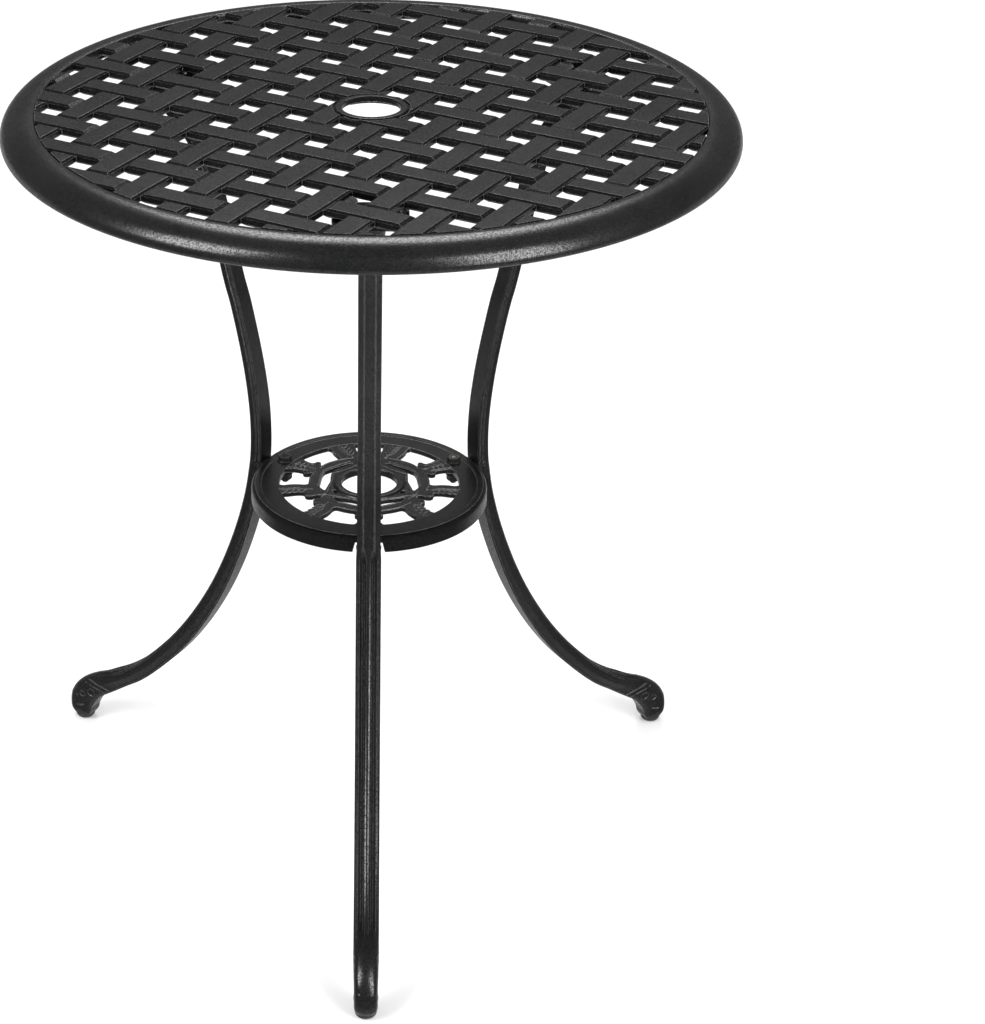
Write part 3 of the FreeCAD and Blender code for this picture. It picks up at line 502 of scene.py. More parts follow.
# %% The collar
outline = arc(POLE_R + 1.3, -0.9, 1.3, 1.3, 180, 90, 6)
outline += arc(30.1, -1.6, 1.9, 2.0, 90, 10, 6)
outline += [(32.1, -2.6), (32.1, -4.4), (31.7, -4.8), (POLE_R + 0.4, -4.8), (POLE_R, -4.4)]
collar = moved(spun(outline, 96), 0, 0, TOP_Z)
finish("top_collar", collar, coat, replaces=("table_top",), crease=35.0)

# %% The bosses
BOSS_FOOT_R, BOSS_FACE_R, BOSS_LENGTH, BOSS_MIDDLE_Z = 10.6, 9.9, 7.0, 703.7


def joined(*parts):
    """One bmesh from several."""
    whole = bmesh.new()
    for part in parts:
        mesh = bpy.data.meshes.new("part")
        part.to_mesh(mesh)
        part.free()
        whole.from_mesh(mesh)
        bpy.data.meshes.remove(mesh)
    return whole


def turn(bm, degrees):
    """Turn a bmesh round the pole."""
    matrix = Matrix.Rotation(math.radians(degrees), 3, "Z")
    bmesh.ops.rotate(bm, verts=bm.verts, cent=(0, 0, 0), matrix=matrix)
    return bm


bosses = []
for direction in LEGS.values():
    for spread in (-PAD_BOLT_SPREAD, PAD_BOLT_SPREAD):
        bm = bmesh.new()
        bmesh.ops.create_cone(bm, cap_ends=True, segments=40, radius1=BOSS_FOOT_R, radius2=BOSS_FACE_R,
                              depth=BOSS_LENGTH)
        bosses.append(turn(moved(bm, PAD_BOLT_R, spread, BOSS_MIDDLE_Z), direction))
finish("top_bosses", joined(*bosses), coat, replaces=("table_top",), crease=40.0)

# %% [markdown]
# ## The legs
#
# Each leg is an S: it leaves the top near the rim, swings in to a waist beside the shelf, and sweeps out to a
# round foot. The outer face has two thin beads above the shelf and two deep flutes below it. One outline
# swept along a curve couldn't change its form, so a section is extruded from station to station and drifts
# from the upper to the lower form and then to the plain foot. A pattern maker sets out such a leg in the same
# way, with a template for each station.

# %% Stations along the leg
# Outer face in the leg's own plane from the head to the ankle: radius, height and the leg's depth there.
SHANK = ((208.0, 669.9, 13.2), (187.0, 647.9, 12.2), (176.0, 624.9, 12.0), (166.5, 590.1, 12.0),
         (150.6, 525.0, 12.0), (143.2, 500, 12.0), (137.0, 475, 12.0), (131.5, 450, 12.0), (127.0, 425, 12.0),
         (123.9, 400, 12.1), (122.6, 375, 12.2), (123.4, 350, 12.6), (126.5, 325, 13.0), (132.0, 300, 13.4),
         (139.4, 275, 14.0), (148.3, 250, 14.6), (158.6, 225, 15.2), (170.7, 200, 15.8), (185.0, 175, 16.4),
         (201.6, 150, 17.0), (221.2, 125, 17.4), (243.6, 100.6, 17.0))
# Pairs of outer and inner points where the sections fan out: at the head and round the foot.
HEAD = ((238.0, 697.2, 215.0, 697.2), (232.6, 692.0, 211.8, 693.0), (221.5, 682.0, 206.4, 687.4))
FOOT = ((262, 83.6, 253.6, 68.6), (281, 70.0, 273.6, 54.9), (300, 60.2, 292.0, 42.0),
        (315, 53.6, 304.6, 33.0), (327.5, 46.6, 311.6, 25.0), (337, 38.2, 315.4, 19.2),
        (342.4, 28.6, 317.4, 15.0), (344.0, 18.6, 318.2, 11.6), (343.4, 11.0, 319.2, 8.6),
        (341.2, 7.0, 320.3, 6.6), (339.6, 5.35, 321.2, 5.35))
STATIONS_PER_SPAN = 5


def smooth_path(points, per_span):
    """A Catmull-Rom path through vectors of any size."""
    padded = [points[0] * 2 - points[1]] + points + [points[-1] * 2 - points[-2]]
    path = []
    for k in range(1, len(padded) - 2):
        a, b, c, d = padded[k - 1:k + 3]
        for step in range(per_span):
            t = step / per_span
            path.append((b * 2 + (c - a) * t + (a * 2 - b * 5 + c * 4 - d) * t ** 2
                         + (b * 3 - a - c * 3 + d) * t ** 3) * 0.5)
    return path + [points[-1]]


def leg_stations():
    """Outer and inner point of each section, from the head to the sole."""
    pairs = [Vector(pair) for pair in HEAD]
    for k, (r, z, depth) in enumerate(SHANK):
        before = SHANK[k - 1] if k else HEAD[-1]
        after = SHANK[k + 1] if k + 1 < len(SHANK) else FOOT[0]
        along = Vector((after[0] - before[0], after[1] - before[1])).normalized()
        pairs.append(Vector((r, z, r + along.y * depth, z - along.x * depth)))
    pairs += [Vector(pair) for pair in FOOT]
    return smooth_path(pairs, STATIONS_PER_SPAN)


print(len(leg_stations()), "stations along a leg")

# %% Forms of the section
# Half sections: distance from the middle plane and depth below the outer face, then the same from the inner
# face. All have as many points, so that one can drift into the next.
UPPER_FORM = (((0, .15), (1.6, .1), (3.4, 0), (4.1, -.1), (4.4, -.85), (5.0, -.85), (5.4, -.1), (6.2, .1),
               (8, .5), (9.3, 1.4), (10, 2.9), (10, 6.4), (10, 6.9), (9.2, 7.6)),
              ((9.2, 2.8), (9.9, 2.1), (9.9, 1.0), (8.9, 0), (0, 0)))
LOWER_FORM = (((0, -.2), (1.1, -.1), (1.9, .4), (2.5, 2.3), (3.3, 3.0), (5.4, 3.0), (6.4, 2.3), (7.2, .9),
               (8.0, .3), (9.4, .5), (10.9, 1.9), (11.2, 3.6), (11.2, 8.0), (10.9, 9.0)),
              ((9.5, 3.2), (9.5, 2.4), (9.9, 1.7), (9.2, 0), (0, 0)))
FOOT_FORM = (((0, -.3), (1.4, -.25), (2.7, -.1), (3.9, .1), (5.0, .35), (6.0, .65), (6.9, 1.0), (7.8, 1.5),
              (8.7, 2.2), (9.6, 3.1), (10.4, 4.4), (11.0, 6.2), (11.3, 8.4), (11.3, 10.4)),
             ((11.2, 6.0), (10.9, 3.6), (10.1, 1.6), (8.4, 0.3), (0, 0)))
# Points that stand further out than this are a bead's, and sink by so much towards the head.
BEAD_LIMIT, BEAD_SINK = -0.3, 0.75


def step_between(value, low, high):
    """0 below low, 1 above high, and an even S between."""
    t = min(1.0, max(0.0, (value - low) / (high - low)))
    return t * t * (3 - 2 * t)


def half_section(form, depth):
    front, back = form
    return [Vector((x, y)) for x, y in front] + [Vector((x, depth - y)) for x, y in back]


def leg_width(z, low):
    """The leg's width as a share of its form: wide at the head, slim at the ankle and the sole."""
    width = 1.0 + 0.22 * step_between(z, 640, 694) + 0.05 * step_between(-z, -480, -400) * (1 - low)
    width -= 0.08 * step_between(-z, -60, -30) + 0.08 * step_between(-z, -13, -5.3)
    return width


print("a half section has", len(half_section(UPPER_FORM, 12.0)), "points")

# %% One section of the leg
def leg_section(station):
    """The closed outline of one section as points in space, the leg towards +x."""
    outer, inner = Vector((station[0], station[1])), Vector((station[2], station[3]))
    inward = inner - outer
    depth = inward.length
    inward.normalize()
    z = outer.y
    low = step_between(-z, -351, -334)
    foot = step_between(outer.x, 288, 316) if z < 120 else 0.0
    width = leg_width(z, low)
    forms = [half_section(form, depth) for form in (UPPER_FORM, LOWER_FORM, FOOT_FORM)]
    half = [a.lerp(b, low).lerp(c, foot) for a, b, c in zip(*forms)]
    sink = BEAD_SINK * step_between(z, 664, 690)
    half = [Vector((p.x, p.y + sink if p.y < BEAD_LIMIT else p.y)) for p in half]
    points = []
    for side, order in ((1, half), (-1, half[-2:0:-1])):
        for p in order:
            place = outer + inward * p.y
            points.append(Vector((place.x, side * p.x * width, place.y)))
    return points


def leg_shank():
    """The leg itself: the first outline, extruded from station to station and closed at both ends."""
    bm = bmesh.new()
    sections = [leg_section(station) for station in leg_stations()]
    verts = [bm.verts.new(p) for p in sections[0]]
    edges = [bm.edges.new((verts[k - 1], verts[k])) for k in range(len(verts))]
    bmesh.ops.contextual_create(bm, geom=edges)
    for section in sections[1:]:
        grown = bmesh.ops.extrude_edge_only(bm, edges=edges)["geom"]
        edges = [item for item in grown if isinstance(item, bmesh.types.BMEdge)]
        fresh = {item for item in grown if isinstance(item, bmesh.types.BMVert)}
        verts = [next(e.other_vert(v) for e in v.link_edges if e.other_vert(v) in fresh) for v in verts]
        for vert, p in zip(verts, section):
            vert.co = p
    bmesh.ops.contextual_create(bm, geom=edges)
    return bm


print("a section has", len(leg_section(leg_stations()[0])), "points")

# %% [markdown]
# ### Head, lug and foot
#
# The same casting ends in a flat pad under the top and carries a lug that reaches under the shelf. A small
# round pip on each flank is a mark of the mould. The foot has two raised ribs on each side, rings round the
# toe and shallow hollows at the heel. They could be sculpted into the leg. Here each is a small shape that is
# sunk into it or presses a hollow, because they look as if they were added to the pattern by hand.

# %% Plates
def softened(bm, edges, offset, segments):
    bmesh.ops.bevel(bm, geom=edges, offset=offset, offset_type="OFFSET", segments=segments, profile=0.5,
                    affect="EDGES", material=-1)


def rounded_plate(x_low, x_high, half_width, z_low, z_high, corner, arris):
    """A flat plate with round corners and softened edges."""
    bm = bmesh.new()
    bmesh.ops.create_cube(bm, size=1.0)
    bmesh.ops.scale(bm, vec=(x_high - x_low, 2 * half_width, z_high - z_low), verts=bm.verts)
    moved(bm, (x_low + x_high) / 2, 0, (z_low + z_high) / 2)
    softened(bm, [e for e in bm.edges if abs(e.verts[0].co.z - e.verts[1].co.z) > 0.01], corner, 10)
    softened(bm, [e for e in bm.edges if len(e.link_faces) == 2 and e.calc_face_angle(0) > 1.0], arris, 3)
    return bm


print("plates can be made")

# %% Bars and domes
def add_line(curve, points, closed=False):
    """A line through points, as a spline of a curve."""
    spline = curve.splines.new("POLY")
    spline.points.add(len(points) - 1)
    for target, point in zip(spline.points, points):
        target.co = (*point, 1.0)
    spline.use_cyclic_u = closed
    return spline


def curve_to_bmesh(curve):
    """The mesh that a curve draws; the curve itself goes."""
    thing = bpy.data.objects.new(curve.name, curve)
    mesh = bpy.data.meshes.new_from_object(thing)
    bm = bmesh.new()
    bm.from_mesh(mesh)
    bpy.data.objects.remove(thing)
    bpy.data.curves.remove(curve)
    bpy.data.meshes.remove(mesh)
    return bm


def bar(points, radius, flat=1.0):
    """A round bar along points, with tapered ends."""
    curve = bpy.data.curves.new("bar", "CURVE")
    curve.dimensions = "3D"
    curve.bevel_depth = radius
    curve.bevel_resolution = 3
    curve.use_fill_caps = True
    spline = add_line(curve, points)
    spline.points[0].radius = spline.points[-1].radius = 0.45
    bm = curve_to_bmesh(curve)
    bmesh.ops.scale(bm, vec=(1, 1, flat), verts=bm.verts)
    return bm


def dome(x, y, z, radius, height, normal):
    """A flattened ball, sunk to its middle."""
    bm = bmesh.new()
    bmesh.ops.create_uvsphere(bm, u_segments=20, v_segments=10, radius=radius)
    bmesh.ops.scale(bm, vec=(1, 1, height / radius), verts=bm.verts)
    tilt = Vector((0, 0, 1)).rotation_difference(Vector(normal)).to_matrix()
    bmesh.ops.rotate(bm, verts=bm.verts, cent=(0, 0, 0), matrix=tilt)
    return moved(bm, x, y, z)


print("bars and domes can be made")

# %% Ribs, rings and hollows of the foot
# A rib of one flank: its radius, then distance from the pole, distance from the middle plane, height.
RIBS = ((0.95, ((293, 10.0, 43.5), (300, 10.5, 46.0), (310, 10.4, 48.6), (318, 9.6, 50.2))),
        (0.85, ((299, 10.0, 39.6), (306, 10.5, 42.2), (315, 10.4, 44.6), (322, 9.6, 45.8))))
# A ring of the toe: first and last angle in degrees, its height in the middle, and how far it dips in front.
RINGS = ((30, 78, 28.2, -1.0), (-78, -30, 28.2, -1.0), (-150, 150, 17.6, 3.6))
TOE_R, TOE_HALF_LENGTH, TOE_HALF_WIDTH, RING_RADIUS = 329.3, 14.1, 10.1, 0.8
RING_STEPS = 20


def foot_trim():
    """Ribs on the flanks of the foot and the rings round its toe."""
    parts = [bar([(x, side * y, z) for x, y, z in points], radius)
             for side in (1, -1) for radius, points in RIBS]
    for first, last, middle, dip in RINGS:
        ring = []
        for k in range(RING_STEPS + 1):
            a = math.radians(first + (last - first) * k / RING_STEPS)
            ring.append((TOE_R + TOE_HALF_LENGTH * math.cos(a), TOE_HALF_WIDTH * math.sin(a),
                         middle - dip * math.cos(a)))
        parts.append(bar(ring, RING_RADIUS))
    return parts


def heel_hollows(side):
    """Two lens-shaped tools that press shallow hollows into one flank of the foot."""
    return [dome(315.0, side * 10.9, 36.0, 4.2, 1.3, (0, side, 0)),
            dome(326.0, side * 10.8, 31.5, 3.2, 1.2, (0, side, 0))]


print(len(RIBS) * 2, "ribs and", len(RINGS), "rings on a foot")

# %% Three leg castings
def leg_casting(side):
    lug = rounded_plate(82.6, 118.0, 8.0, 337.0, 344.9, 7.6, 0.8)
    pad = rounded_plate(192.0, 241.0, 31.0, 694.2, 700.1, 10.0, 0.8)
    pips = [dome(116.5, flank * 10.75, 345.5, 2.3, 0.5, (0, flank, 0)) for flank in (1, -1)]
    shank = boolean(leg_shank(), joined(*heel_hollows(1), *heel_hollows(-1)), "DIFFERENCE")
    bm = turn(joined(shank, lug, pad, *pips, *foot_trim()), LEGS[side])
    finish("leg_casting_" + side, bm, leg_coat, replaces=("leg_" + side,), crease=34.0)


for side in LEGS:
    leg_casting(side)

# %% [markdown]
# ## The band of the shelf
#
# The shelf braces the legs and steadies the pole. It is one casting: a flat band with a raised lip and a
# skirt, and inside it an ornament round a ring. The band could be a thickened disc, but its lip and the round
# of its edge catch the light, so its outline is spun, and the skirt is cut away where a leg passes.

# %% Band, lip and skirt
# The outline as radius and height from the band's face.
BAND_OUTLINE = ((82.0, -4.6), (82.0, -0.7), (82.2, -0.2), (82.7, 0.0), (98.0, 0.0), (98.6, 0.12),
                (99.1, 0.75), (99.7, 1.0), (103.6, 1.0), (104.1, 0.95), (104.4, 0.55), (105.0, 0.3),
                (105.9, -0.2), (106.7, -1.1), (107.2, -2.2), (107.45, -3.6), (107.5, -5.0), (107.5, -14.2),
                (107.2, -14.8), (106.6, -15.0), (104.4, -15.0), (103.8, -14.8), (103.5, -14.2),
                (103.5, -6.0), (102.5, -5.0), (82.4, -5.0))
NOTCH_TOP, NOTCH_BOTTOM = (12.0, 345.0), (14.6, 334.0)
NOTCH_R, NOTCH_DEPTH = 105.5, 8.0


def notch_tool():
    """A block that is wider at its foot."""
    bm = bmesh.new()
    bmesh.ops.create_cube(bm, size=1.0)
    for vert in bm.verts:
        half, z = NOTCH_TOP if vert.co.z > 0 else NOTCH_BOTTOM
        vert.co = (NOTCH_R + vert.co.x * NOTCH_DEPTH, math.copysign(half, vert.co.y), z)
    return bm


band = spun([(r, BAND_Z + z) for r, z in BAND_OUTLINE], 192)
for direction in LEGS.values():
    band = boolean(band, turn(notch_tool(), direction), "DIFFERENCE")
finish("shelf_rim_band", band, coat, replaces=("shelf",), crease=38.0)

# %% [markdown]
# ## The ornament of the shelf
#
# Inside the band there is flat work: straps, leaves and buds round the pole ring, with openings between them.
# Cutting each opening out of a disc would take a dozen cuts. A flat curve fills the space between its
# outlines in one go and rounds all their edges with one bevel, so the openings are drawn as outlines for one
# third of the shelf and turned to the other two. At the rear corner they are narrower.

# %% Helpers for outlines
def on_arc(radius, first, last, count):
    """Points of a circle round the pole."""
    return arc(0.0, 0.0, radius, radius, first, last, count)


def mirrored(points):
    """A half outline and its mirror image in the x axis, as one closed outline."""
    return points + [(x, -y) for x, y in reversed(points) if abs(y) > 0.01]


def rotated(points, degrees):
    c, s = math.cos(math.radians(degrees)), math.sin(math.radians(degrees))
    return [(x * c - y * s, x * s + y * c) for x, y in points]


def round_points(points, radius, count=4):
    """Corners of an outline replaced by short curves."""
    out = []
    for k, here in enumerate(points):
        p = Vector(here)
        before, after = Vector(points[k - 1]) - p, Vector(points[(k + 1) % len(points)]) - p
        cut_a, cut_b = min(radius, before.length * 0.45), min(radius, after.length * 0.45)
        a, b = p + before.normalized() * cut_a, p + after.normalized() * cut_b
        for step in range(count):
            t = step / (count - 1)
            q = a * (1 - t) ** 2 + p * 2 * t * (1 - t) + b * t ** 2
            out.append((q.x, q.y))
    return out


print("outlines can be drawn")

# %% Openings of the ornament
# One arm of a slit at a leg, wide or narrow, the opening between leg and corner, the one at a corner that
# frames two leaves, and the small eye.
WIDE_ARM = [(40.3, 0.0), (36.5, 8.0), (32.9, 14.0), (27.6, 33.2), (36.0, 28.6), (45.6, 7.0), (47.2, 0.0)]
NARROW_ARM = [(41.0, 0.0), (40.6, 7.0), (38.6, 13.0), (32.6, 27.5), (35.4, 26.6), (44.6, 7.0), (47.2, 0.0)]
BETWEEN = ([(54.4, 8.6), (54.2, 13.2)] + on_arc(55.5, 15, 32, 6)
           + [(49.0, 32.2), (55.5, 35.0), (61.0, 38.6), (65.6, 43.2), (69.4, 43.6)]
           + on_arc(82.0, 31.6, 9.4, 9)
           + [(76.0, 10.4), (69.5, 8.6), (65.0, 8.6), (63.6, 12.0), (60.5, 13.2), (57.6, 11.4), (57.0, 8.6)])
PAIR = mirrored([(50.4, 0.0), (51.4, 2.8), (54.0, 3.4), (57.6, 2.9), (61.4, 4.8), (62.4, 8.4), (60.6, 11.6),
                 (61.2, 14.4), (66.0, 17.0), (72.0, 18.6), (78.0, 20.6)] + on_arc(82.0, 14.0, 0.0, 5))
EYE = [(35.4 + 2.1 * math.cos(k * math.pi / 8), 4.4 * math.sin(k * math.pi / 8)) for k in range(16)]
REAR_SQUEEZE = 0.68


def slit(direction):
    """The V-shaped slit at a leg; its arm is narrower where it runs towards the rear corner."""
    left, right = (NARROW_ARM if direction + side * 60.0 == REAR_CORNER else WIDE_ARM for side in (1, -1))
    return left + [(x, -y) for x, y in reversed(right) if y > 0.01]


def openings():
    """All openings of the flat work, each a closed outline."""
    outlines = []
    for direction in LEGS.values():
        outlines.append(rotated(round_points(slit(direction), 2.2), direction))
        outlines.append(rotated(round_points(BETWEEN, 1.6), direction))
        outlines.append(rotated(round_points([(x, -y) for x, y in BETWEEN], 1.6), direction))
    for direction in CORNERS:
        squeeze = REAR_SQUEEZE if direction == REAR_CORNER else 1.0
        outlines.append(rotated(round_points([(x, y * squeeze) for x, y in PAIR], 1.4), direction))
        outlines.append(rotated(EYE, direction))
    return outlines


print(len(openings()), "openings")

# %% The flat work
HALF_PLATE, PLATE_EDGE = 1.7, 0.6
PLATE_MIDDLE = BAND_Z - 2.6
curve = bpy.data.curves.new("ornament", "CURVE")
curve.dimensions = "2D"
curve.fill_mode = "BOTH"
curve.extrude = HALF_PLATE
curve.bevel_depth = PLATE_EDGE
curve.bevel_resolution = 2
curve.offset = -PLATE_EDGE
for outline in [on_arc(83.4, 0, 357.5, 144), on_arc(29.0, 0, 354, 60)] + openings():
    add_line(curve, [(x, y, 0.0) for x, y in outline], closed=True)
plate = curve_to_bmesh(curve)
bmesh.ops.remove_doubles(plate, verts=plate.verts, dist=0.01)
finish("shelf_ornament", moved(plate, 0, 0, PLATE_MIDDLE), coat, replaces=("shelf",), crease=38.0)

# %% The pole ring
# The ring's outline as radius and height from the band's face.
RING_OUTLINE = ((25.4, -4.4), (25.4, 0.4), (25.8, 1.2), (26.6, 1.6), (30.4, 1.6), (31.8, 1.2), (32.8, 0.4),
                (33.5, -0.6), (33.5, -4.4), (33.0, -5.0), (25.9, -5.0))
pole_ring = spun([(r, BAND_Z + z) for r, z in RING_OUTLINE], 96)
finish("shelf_pole_ring", pole_ring, coat, replaces=("shelf",), crease=38.0)

# %% [markdown]
# ### The relief on the ornament
#
# The straps have a raised line along each edge, the leaves have a midrib with side veins, the buds have a
# ridge and two balls, and between two leaves two curls end. A bump in the material would look flat from the
# side, so the lines are thin bars that are laid on the flat work, drawn for one third of the shelf.

# %% A bar of the relief
FACE = BAND_Z - 0.4
BAR_FLATNESS = 0.75


def relief_bar(points, radius, direction):
    """A bar laid on the ornament's face, its points given as x and y in one third's own frame."""
    path = smooth_path([Vector((x, y, 0.0)) for x, y in rotated(points, direction)], 4)
    return moved(bar([tuple(p) for p in path], radius, BAR_FLATNESS), 0, 0, FACE)


def ball(x, y, radius, direction):
    return turn(dome(x, y, FACE, radius, 1.5, (0, 0, 1)), direction)


print("relief lies on z =", FACE)

# %% Straps and buds
# Radius of the bar and its line, for one side of a leg's direction: the edges of the straps and of the bud.
LEG_LINES = ((0.9, ((54.2, 4.5), (53.6, 13.0), (49.5, 23.0), (44.6, 31.0), (38.0, 37.5))),
             (0.8, ((48.9, 0), (47.6, 6.0), (42.6, 18.0), (37.4, 29.0))),
             (0.8, ((38.6, 0), (35.4, 6.5), (31.6, 13.6), (28.4, 24.0), (24.2, 36.0), (23.4, 46.0))),
             (0.9, ((62.0, 6.0), (68.0, 6.6), (75.0, 7.4), (81.0, 9.8))))


def leg_relief(direction):
    """Straps and bud in front of one leg."""
    parts = []
    for side in (1, -1):
        for radius, line in LEG_LINES:
            parts.append(relief_bar([(x, side * y) for x, y in line], radius, direction))
        parts.append(ball(60.4, side * 10.2, 2.7, direction))
    parts.append(relief_bar([(57, 0), (65, 0), (74, 0), (80, 0)], 1.3, direction))
    for x in (66.0, 71.0, 76.0):
        parts.append(relief_bar([(x, -4.6), (x + 1.6, 0), (x, 4.6)], 0.7, direction))
    return parts


print(2 * len(LEG_LINES), "lines at each leg")

# %% Leaves and curls
MIDRIB = ((52, 15.5), (60, 19.0), (70, 23.2), (79, 27.0))
VEIN_STARTS = (56, 61, 66, 71)
LEAF_SLOPE = 0.43


def leaf_relief(direction, side):
    """Midrib and side veins of one leaf; its root is at the strap and its tip at the band."""
    parts = [relief_bar([(x, side * y) for x, y in MIDRIB], 1.0, direction)]
    for start in VEIN_STARTS:
        root = MIDRIB[0][1] + (start - MIDRIB[0][0]) * LEAF_SLOPE
        for way in (1, -1):
            parts.append(relief_bar([(start, side * root), (start + 4.0, side * (root + way * 3.4 + 1.4)),
                                     (start + 8.2, side * (root + way * 5.6 + 3.0))], 0.75, direction))
    return parts


def corner_relief(direction):
    """Two leaves, the ends of the curls between them and the line of the strap."""
    parts = []
    for side in (1, -1):
        parts += leaf_relief(direction, side)
        parts.append(ball(58.2, side * 8.0, 2.9, direction))
    parts.append(relief_bar([(46.0, -9.0), (47.6, 0), (46.0, 9.0)], 0.8, direction))
    return parts


relief = [part for direction in LEGS.values() for part in leg_relief(direction)]
relief += [part for direction in CORNERS for part in corner_relief(direction)]
finish("shelf_relief", joined(*relief), coat, replaces=("shelf",), crease=50.0)

# %% [markdown]
# ## Bolts, washers and nuts
#
# A quarter-inch bolt goes down through the band and the lug at each leg, with a washer under its head and a
# nut below. Two six-millimetre bolts hold each pad. A bevel would cut a hexagon's edges evenly, but on a real
# bolt only the corners are turned off, so the six-sided bar is cut by a cone.

# %% Shapes of the fasteners
NEAR_AXIS = 0.001
CHAMFER_FACE, CHAMFER_SLOPE = 0.96, 0.55


def hexagon(flats, height, chamfer_top, chamfer_bottom):
    """A hexagonal bar from z = 0 up, with its corners turned off."""
    corner = flats / math.sqrt(3.0)
    bm = bmesh.new()
    bmesh.ops.create_cone(bm, cap_ends=True, segments=6, radius1=corner, radius2=corner, depth=height)
    moved(bm, 0, 0, height / 2)
    face, wall, wide = flats / 2 * CHAMFER_FACE, corner + 0.05, corner + 1.0
    drop = (corner - face) * CHAMFER_SLOPE
    low, high = [(wide, -0.5), (wall, 0.2)], [(wall, height - 0.2), (wide, height + 0.5)]
    if chamfer_bottom:
        low = [(face, 0.0), (wall, drop)]
    if chamfer_top:
        high = [(wall, height - drop), (face, height)]
    tool = spun([(NEAR_AXIS, low[0][1])] + low + high + [(NEAR_AXIS, high[-1][1])], 48)
    return boolean(bm, tool, "INTERSECT")


def shaft(radius, z_low, z_high):
    """A round shaft with a chamfered lower end."""
    chamfer = 0.7
    return spun([(NEAR_AXIS, z_low), (radius - chamfer, z_low), (radius, z_low + chamfer), (radius, z_high),
                 (NEAR_AXIS, z_high)], 32)


def washer(inner, outer, z_low, z_high):
    edge = 0.3
    return spun([(inner, z_low), (outer - edge, z_low), (outer, z_low + edge), (outer, z_high - edge),
                 (outer - edge, z_high), (inner + edge, z_high), (inner, z_high - edge)], 48)


def steel_piece(name, bm, side, node):
    """A fastener of one leg, turned to its direction."""
    finish(name + "_" + side, turn(bm, LEGS[side]), steel, replaces=(node + "_" + side,),
           crease=25.0)


print("hexagons keep", CHAMFER_FACE, "of their width on a chamfered face")

# %% Fasteners of the shelf and the pads
BAND_BOLT_R, BAND_BOLT_FLATS, WASHER_THICKNESS = 90.0, 11.1, 1.2


def shelf_fasteners(side):
    head = moved(hexagon(BAND_BOLT_FLATS, 3.4, True, False), 0, 0, BAND_Z + WASHER_THICKNESS)
    bolt = moved(joined(head, shaft(3.17, 328.5, BAND_Z + 2.0)), BAND_BOLT_R, 0, 0)
    steel_piece("band_bolt", bolt, side, "shelf_bolt")
    ring = moved(washer(3.5, 7.2, BAND_Z, BAND_Z + WASHER_THICKNESS), BAND_BOLT_R, 0, 0)
    steel_piece("band_washer", ring, side, "shelf_washer")
    nut = moved(hexagon(BAND_BOLT_FLATS, 5.6, True, True), BAND_BOLT_R, 0, 331.4)
    steel_piece("band_nut", nut, side, "shelf_nut")


def pad_fasteners(side):
    bolts = []
    for spread in (-PAD_BOLT_SPREAD, PAD_BOLT_SPREAD):
        head = moved(hexagon(10.0, 4.0, False, True), 0, 0, 690.2)
        bolts.append(moved(joined(head, shaft(3.0, 694.0, 705.6)), PAD_BOLT_R, spread, 0))
    steel_piece("pad_bolts", joined(*bolts), side, "top_bolts")


for side in LEGS:
    shelf_fasteners(side)
    pad_fasteners(side)

# %% [markdown]
# ## The levelling glides
#
# Under each foot there is a nylon glide on a threaded stud, which screws in and out to level the table. Its
# thread can't be seen, so the stud stays plain. Both are turned, the glide with a rounded edge that doesn't
# scratch. They are the only pieces that move, so each pair rides on a body of its own.

# %% Glides
GLIDE_R = 330.5
GLIDE_OUTLINE = ((NEAR_AXIS, 0.0), (4.6, 0.0), (6.2, 0.3), (7.6, 1.0), (8.7, 2.0), (9.3, 3.0), (9.6, 4.0),
                 (9.6, 4.7), (9.2, 5.1), (4.0, 5.1), (4.0, 2.0), (NEAR_AXIS, 2.0))


def glide(side):
    pad = turn(moved(spun(GLIDE_OUTLINE, 64), GLIDE_R, 0, 0), LEGS[side])
    finish("nylon_glide_" + side, pad, nylon, body="glide_" + side,
           replaces=("glide_pad_" + side,), crease=30.0)
    stud = turn(moved(shaft(3.95, 2.0, 24.0), GLIDE_R, 0, 0), LEGS[side])
    finish("steel_stud_" + side, stud, steel, body="glide_" + side,
           replaces=("glide_stud_" + side,), crease=30.0)


for side in LEGS:
    glide(side)

# %% [markdown]
# ## The floor and the room
#
# The photograph is a studio shot, cut out on white with hardly any shadow. A bright room gives the white
# floor, but black gloss would mirror that room and turn grey. The gloss on the photographed table shows a dim
# room instead. So the world is bright for everything but glossy rays, and these see only a little light from
# the floor behind the table and near it.

# %% The floor
pale, tree, surface = new_material("pale_floor")
feed(tree, surface.inputs["Base Color"], mixed(tree, effect(tree, clouds), grey(0.86), grey(0.88)))
surface.inputs["Roughness"].default_value = 0.9
bm = bmesh.new()
bmesh.ops.create_grid(bm, x_segments=1, y_segments=1, size=6.0)
mesh = bpy.data.meshes.new("studio_floor")
bm.to_mesh(mesh)
bm.free()
mesh.materials.append(pale)
floor = bpy.data.objects.new("studio_floor", mesh)
bpy.context.scene.collection.objects.link(floor)
floor.location.z = -0.0002
floor.visible_glossy = False
print("floor laid just below z = 0")

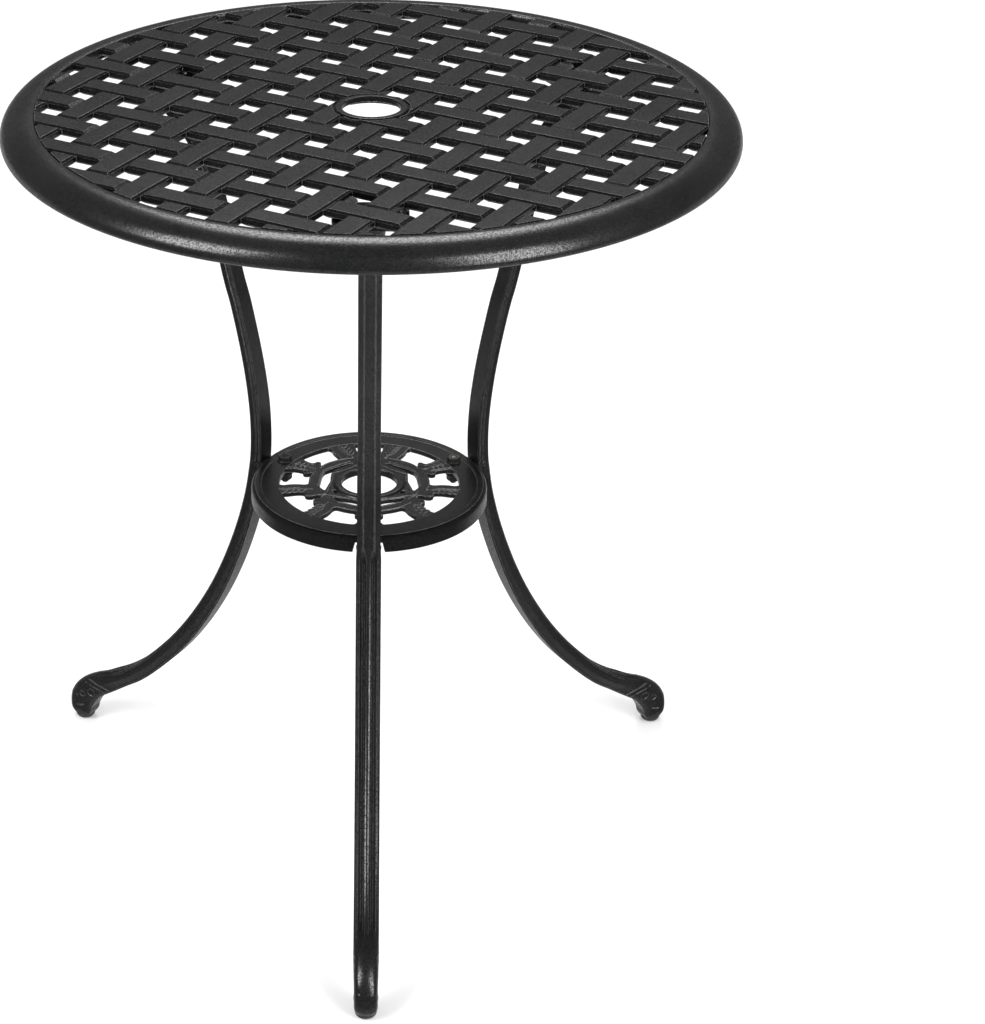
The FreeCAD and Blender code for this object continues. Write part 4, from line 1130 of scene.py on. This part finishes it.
# %% The room
AMBIENT = 0.80
world = bpy.data.worlds.new("studio")
bpy.context.scene.world = world
world.use_nodes = True
tree = world.node_tree
coordinates = tree.nodes.new("ShaderNodeTexCoord")
direction = add(tree, "ShaderNodeSeparateXYZ", Vector=coordinates.outputs["Generated"])
z, y = direction.outputs["Z"], direction.outputs["Y"]
floor_behind = combine(tree, "MULTIPLY", ramp(tree, z, -0.04, -0.20, 0.0, 0.45), ramp(tree, y, 0.0, 0.5))
floor_near = ramp(tree, z, -0.55, -0.80, 0.12, 0.50)
mirrored_room = combine(tree, "MAXIMUM", floor_behind, floor_near)
glossy = tree.nodes.new("ShaderNodeLightPath").outputs["Is Glossy Ray"]
less = combine(tree, "MULTIPLY", glossy, combine(tree, "SUBTRACT", AMBIENT, mirrored_room))
background = tree.nodes["Background"]
feed(tree, background.inputs["Strength"], combine(tree, "SUBTRACT", AMBIENT, less))
background.inputs["Color"].default_value = (1, 1, 1, 1)
bpy.context.scene.view_settings.view_transform = "Standard"
print("room brightness", AMBIENT)

# %% [markdown]
# ## The lamps
#
# The highlights on the rim tell where the studio's lamps stood: a high strip behind the table and a standing
# box at each side in front. Large area lamps give the same soft-edged highlights. In a studio, black flags
# keep a lamp off a surface that would mirror it as a white sheet. Light linking does that here for the flat
# pieces.

# %% Soft boxes and flags
def soft_box(name, place, target, size, power):
    light = bpy.data.lights.new(name, "AREA")
    light.shape = "RECTANGLE"
    light.size, light.size_y = size
    light.energy = power
    thing = bpy.data.objects.new(name, light)
    thing.location = place
    thing.rotation_euler = (Vector(target) - Vector(place)).to_track_quat("-Z", "Y").to_euler()
    bpy.context.scene.collection.objects.link(thing)
    return thing


def flag(lamps, names):
    """Keep the lamps off the named pieces."""
    shaded = bpy.data.collections.new("shaded_by_flags")
    for name in names:
        shaded.objects.link(bpy.data.objects[name])
    for member in shaded.collection_objects:
        member.light_linking.link_state = "EXCLUDE"
    for lamp in lamps:
        lamp.light_linking.receiver_collection = shaded


soft_box("back_box", (0.0, 2.7, 3.6), (0, 0, 0.65), (1.8, 1.7), 48.0)
side_boxes = (soft_box("right_box", (1.8, -2.0, 1.6), (0, 0, 1.0), (1.4, 2.9), 95.0),
              soft_box("left_box", (-2.15, -1.5, 2.2), (0, 0, 0.8), (1.5, 2.0), 80.0))
flag(side_boxes, ("top_lattice", "top_collar", "shelf_rim_band"))

# %% [markdown]
# ## The camera
#
# A camera set by eye would be a few pixels off everywhere. This one was worked out from the photograph: the
# round rim, the regular lattice, the shelf's circle and the feet give its place, its tilt and its lens. The
# shift is there because the picture was cropped: the table stands left of its middle.

# %% The camera
CAMERA_PLACE = (0.001683, -2.4262, 1.5845)
CAMERA_ELEVATION, CAMERA_ROLL = math.radians(27.53), math.radians(0.367)
data = bpy.data.cameras.new("photo_camera")
data.sensor_fit = "AUTO"
data.sensor_width = 36.0
data.lens = 104.92
data.shift_x = 0.1188
camera = bpy.data.objects.new("photo_camera", data)
back = Vector((0, -math.cos(CAMERA_ELEVATION), math.sin(CAMERA_ELEVATION)))
right, up = Vector((1, 0, 0)), Vector((0, math.sin(CAMERA_ELEVATION), math.cos(CAMERA_ELEVATION)))
c, s = math.cos(CAMERA_ROLL), math.sin(CAMERA_ROLL)
basis = Matrix((c * right + s * up, c * up - s * right, back)).transposed()
camera.matrix_world = Matrix.Translation(CAMERA_PLACE) @ basis.to_4x4()
bpy.context.scene.collection.objects.link(camera)
bpy.context.scene.camera = camera
print("camera at", CAMERA_PLACE)
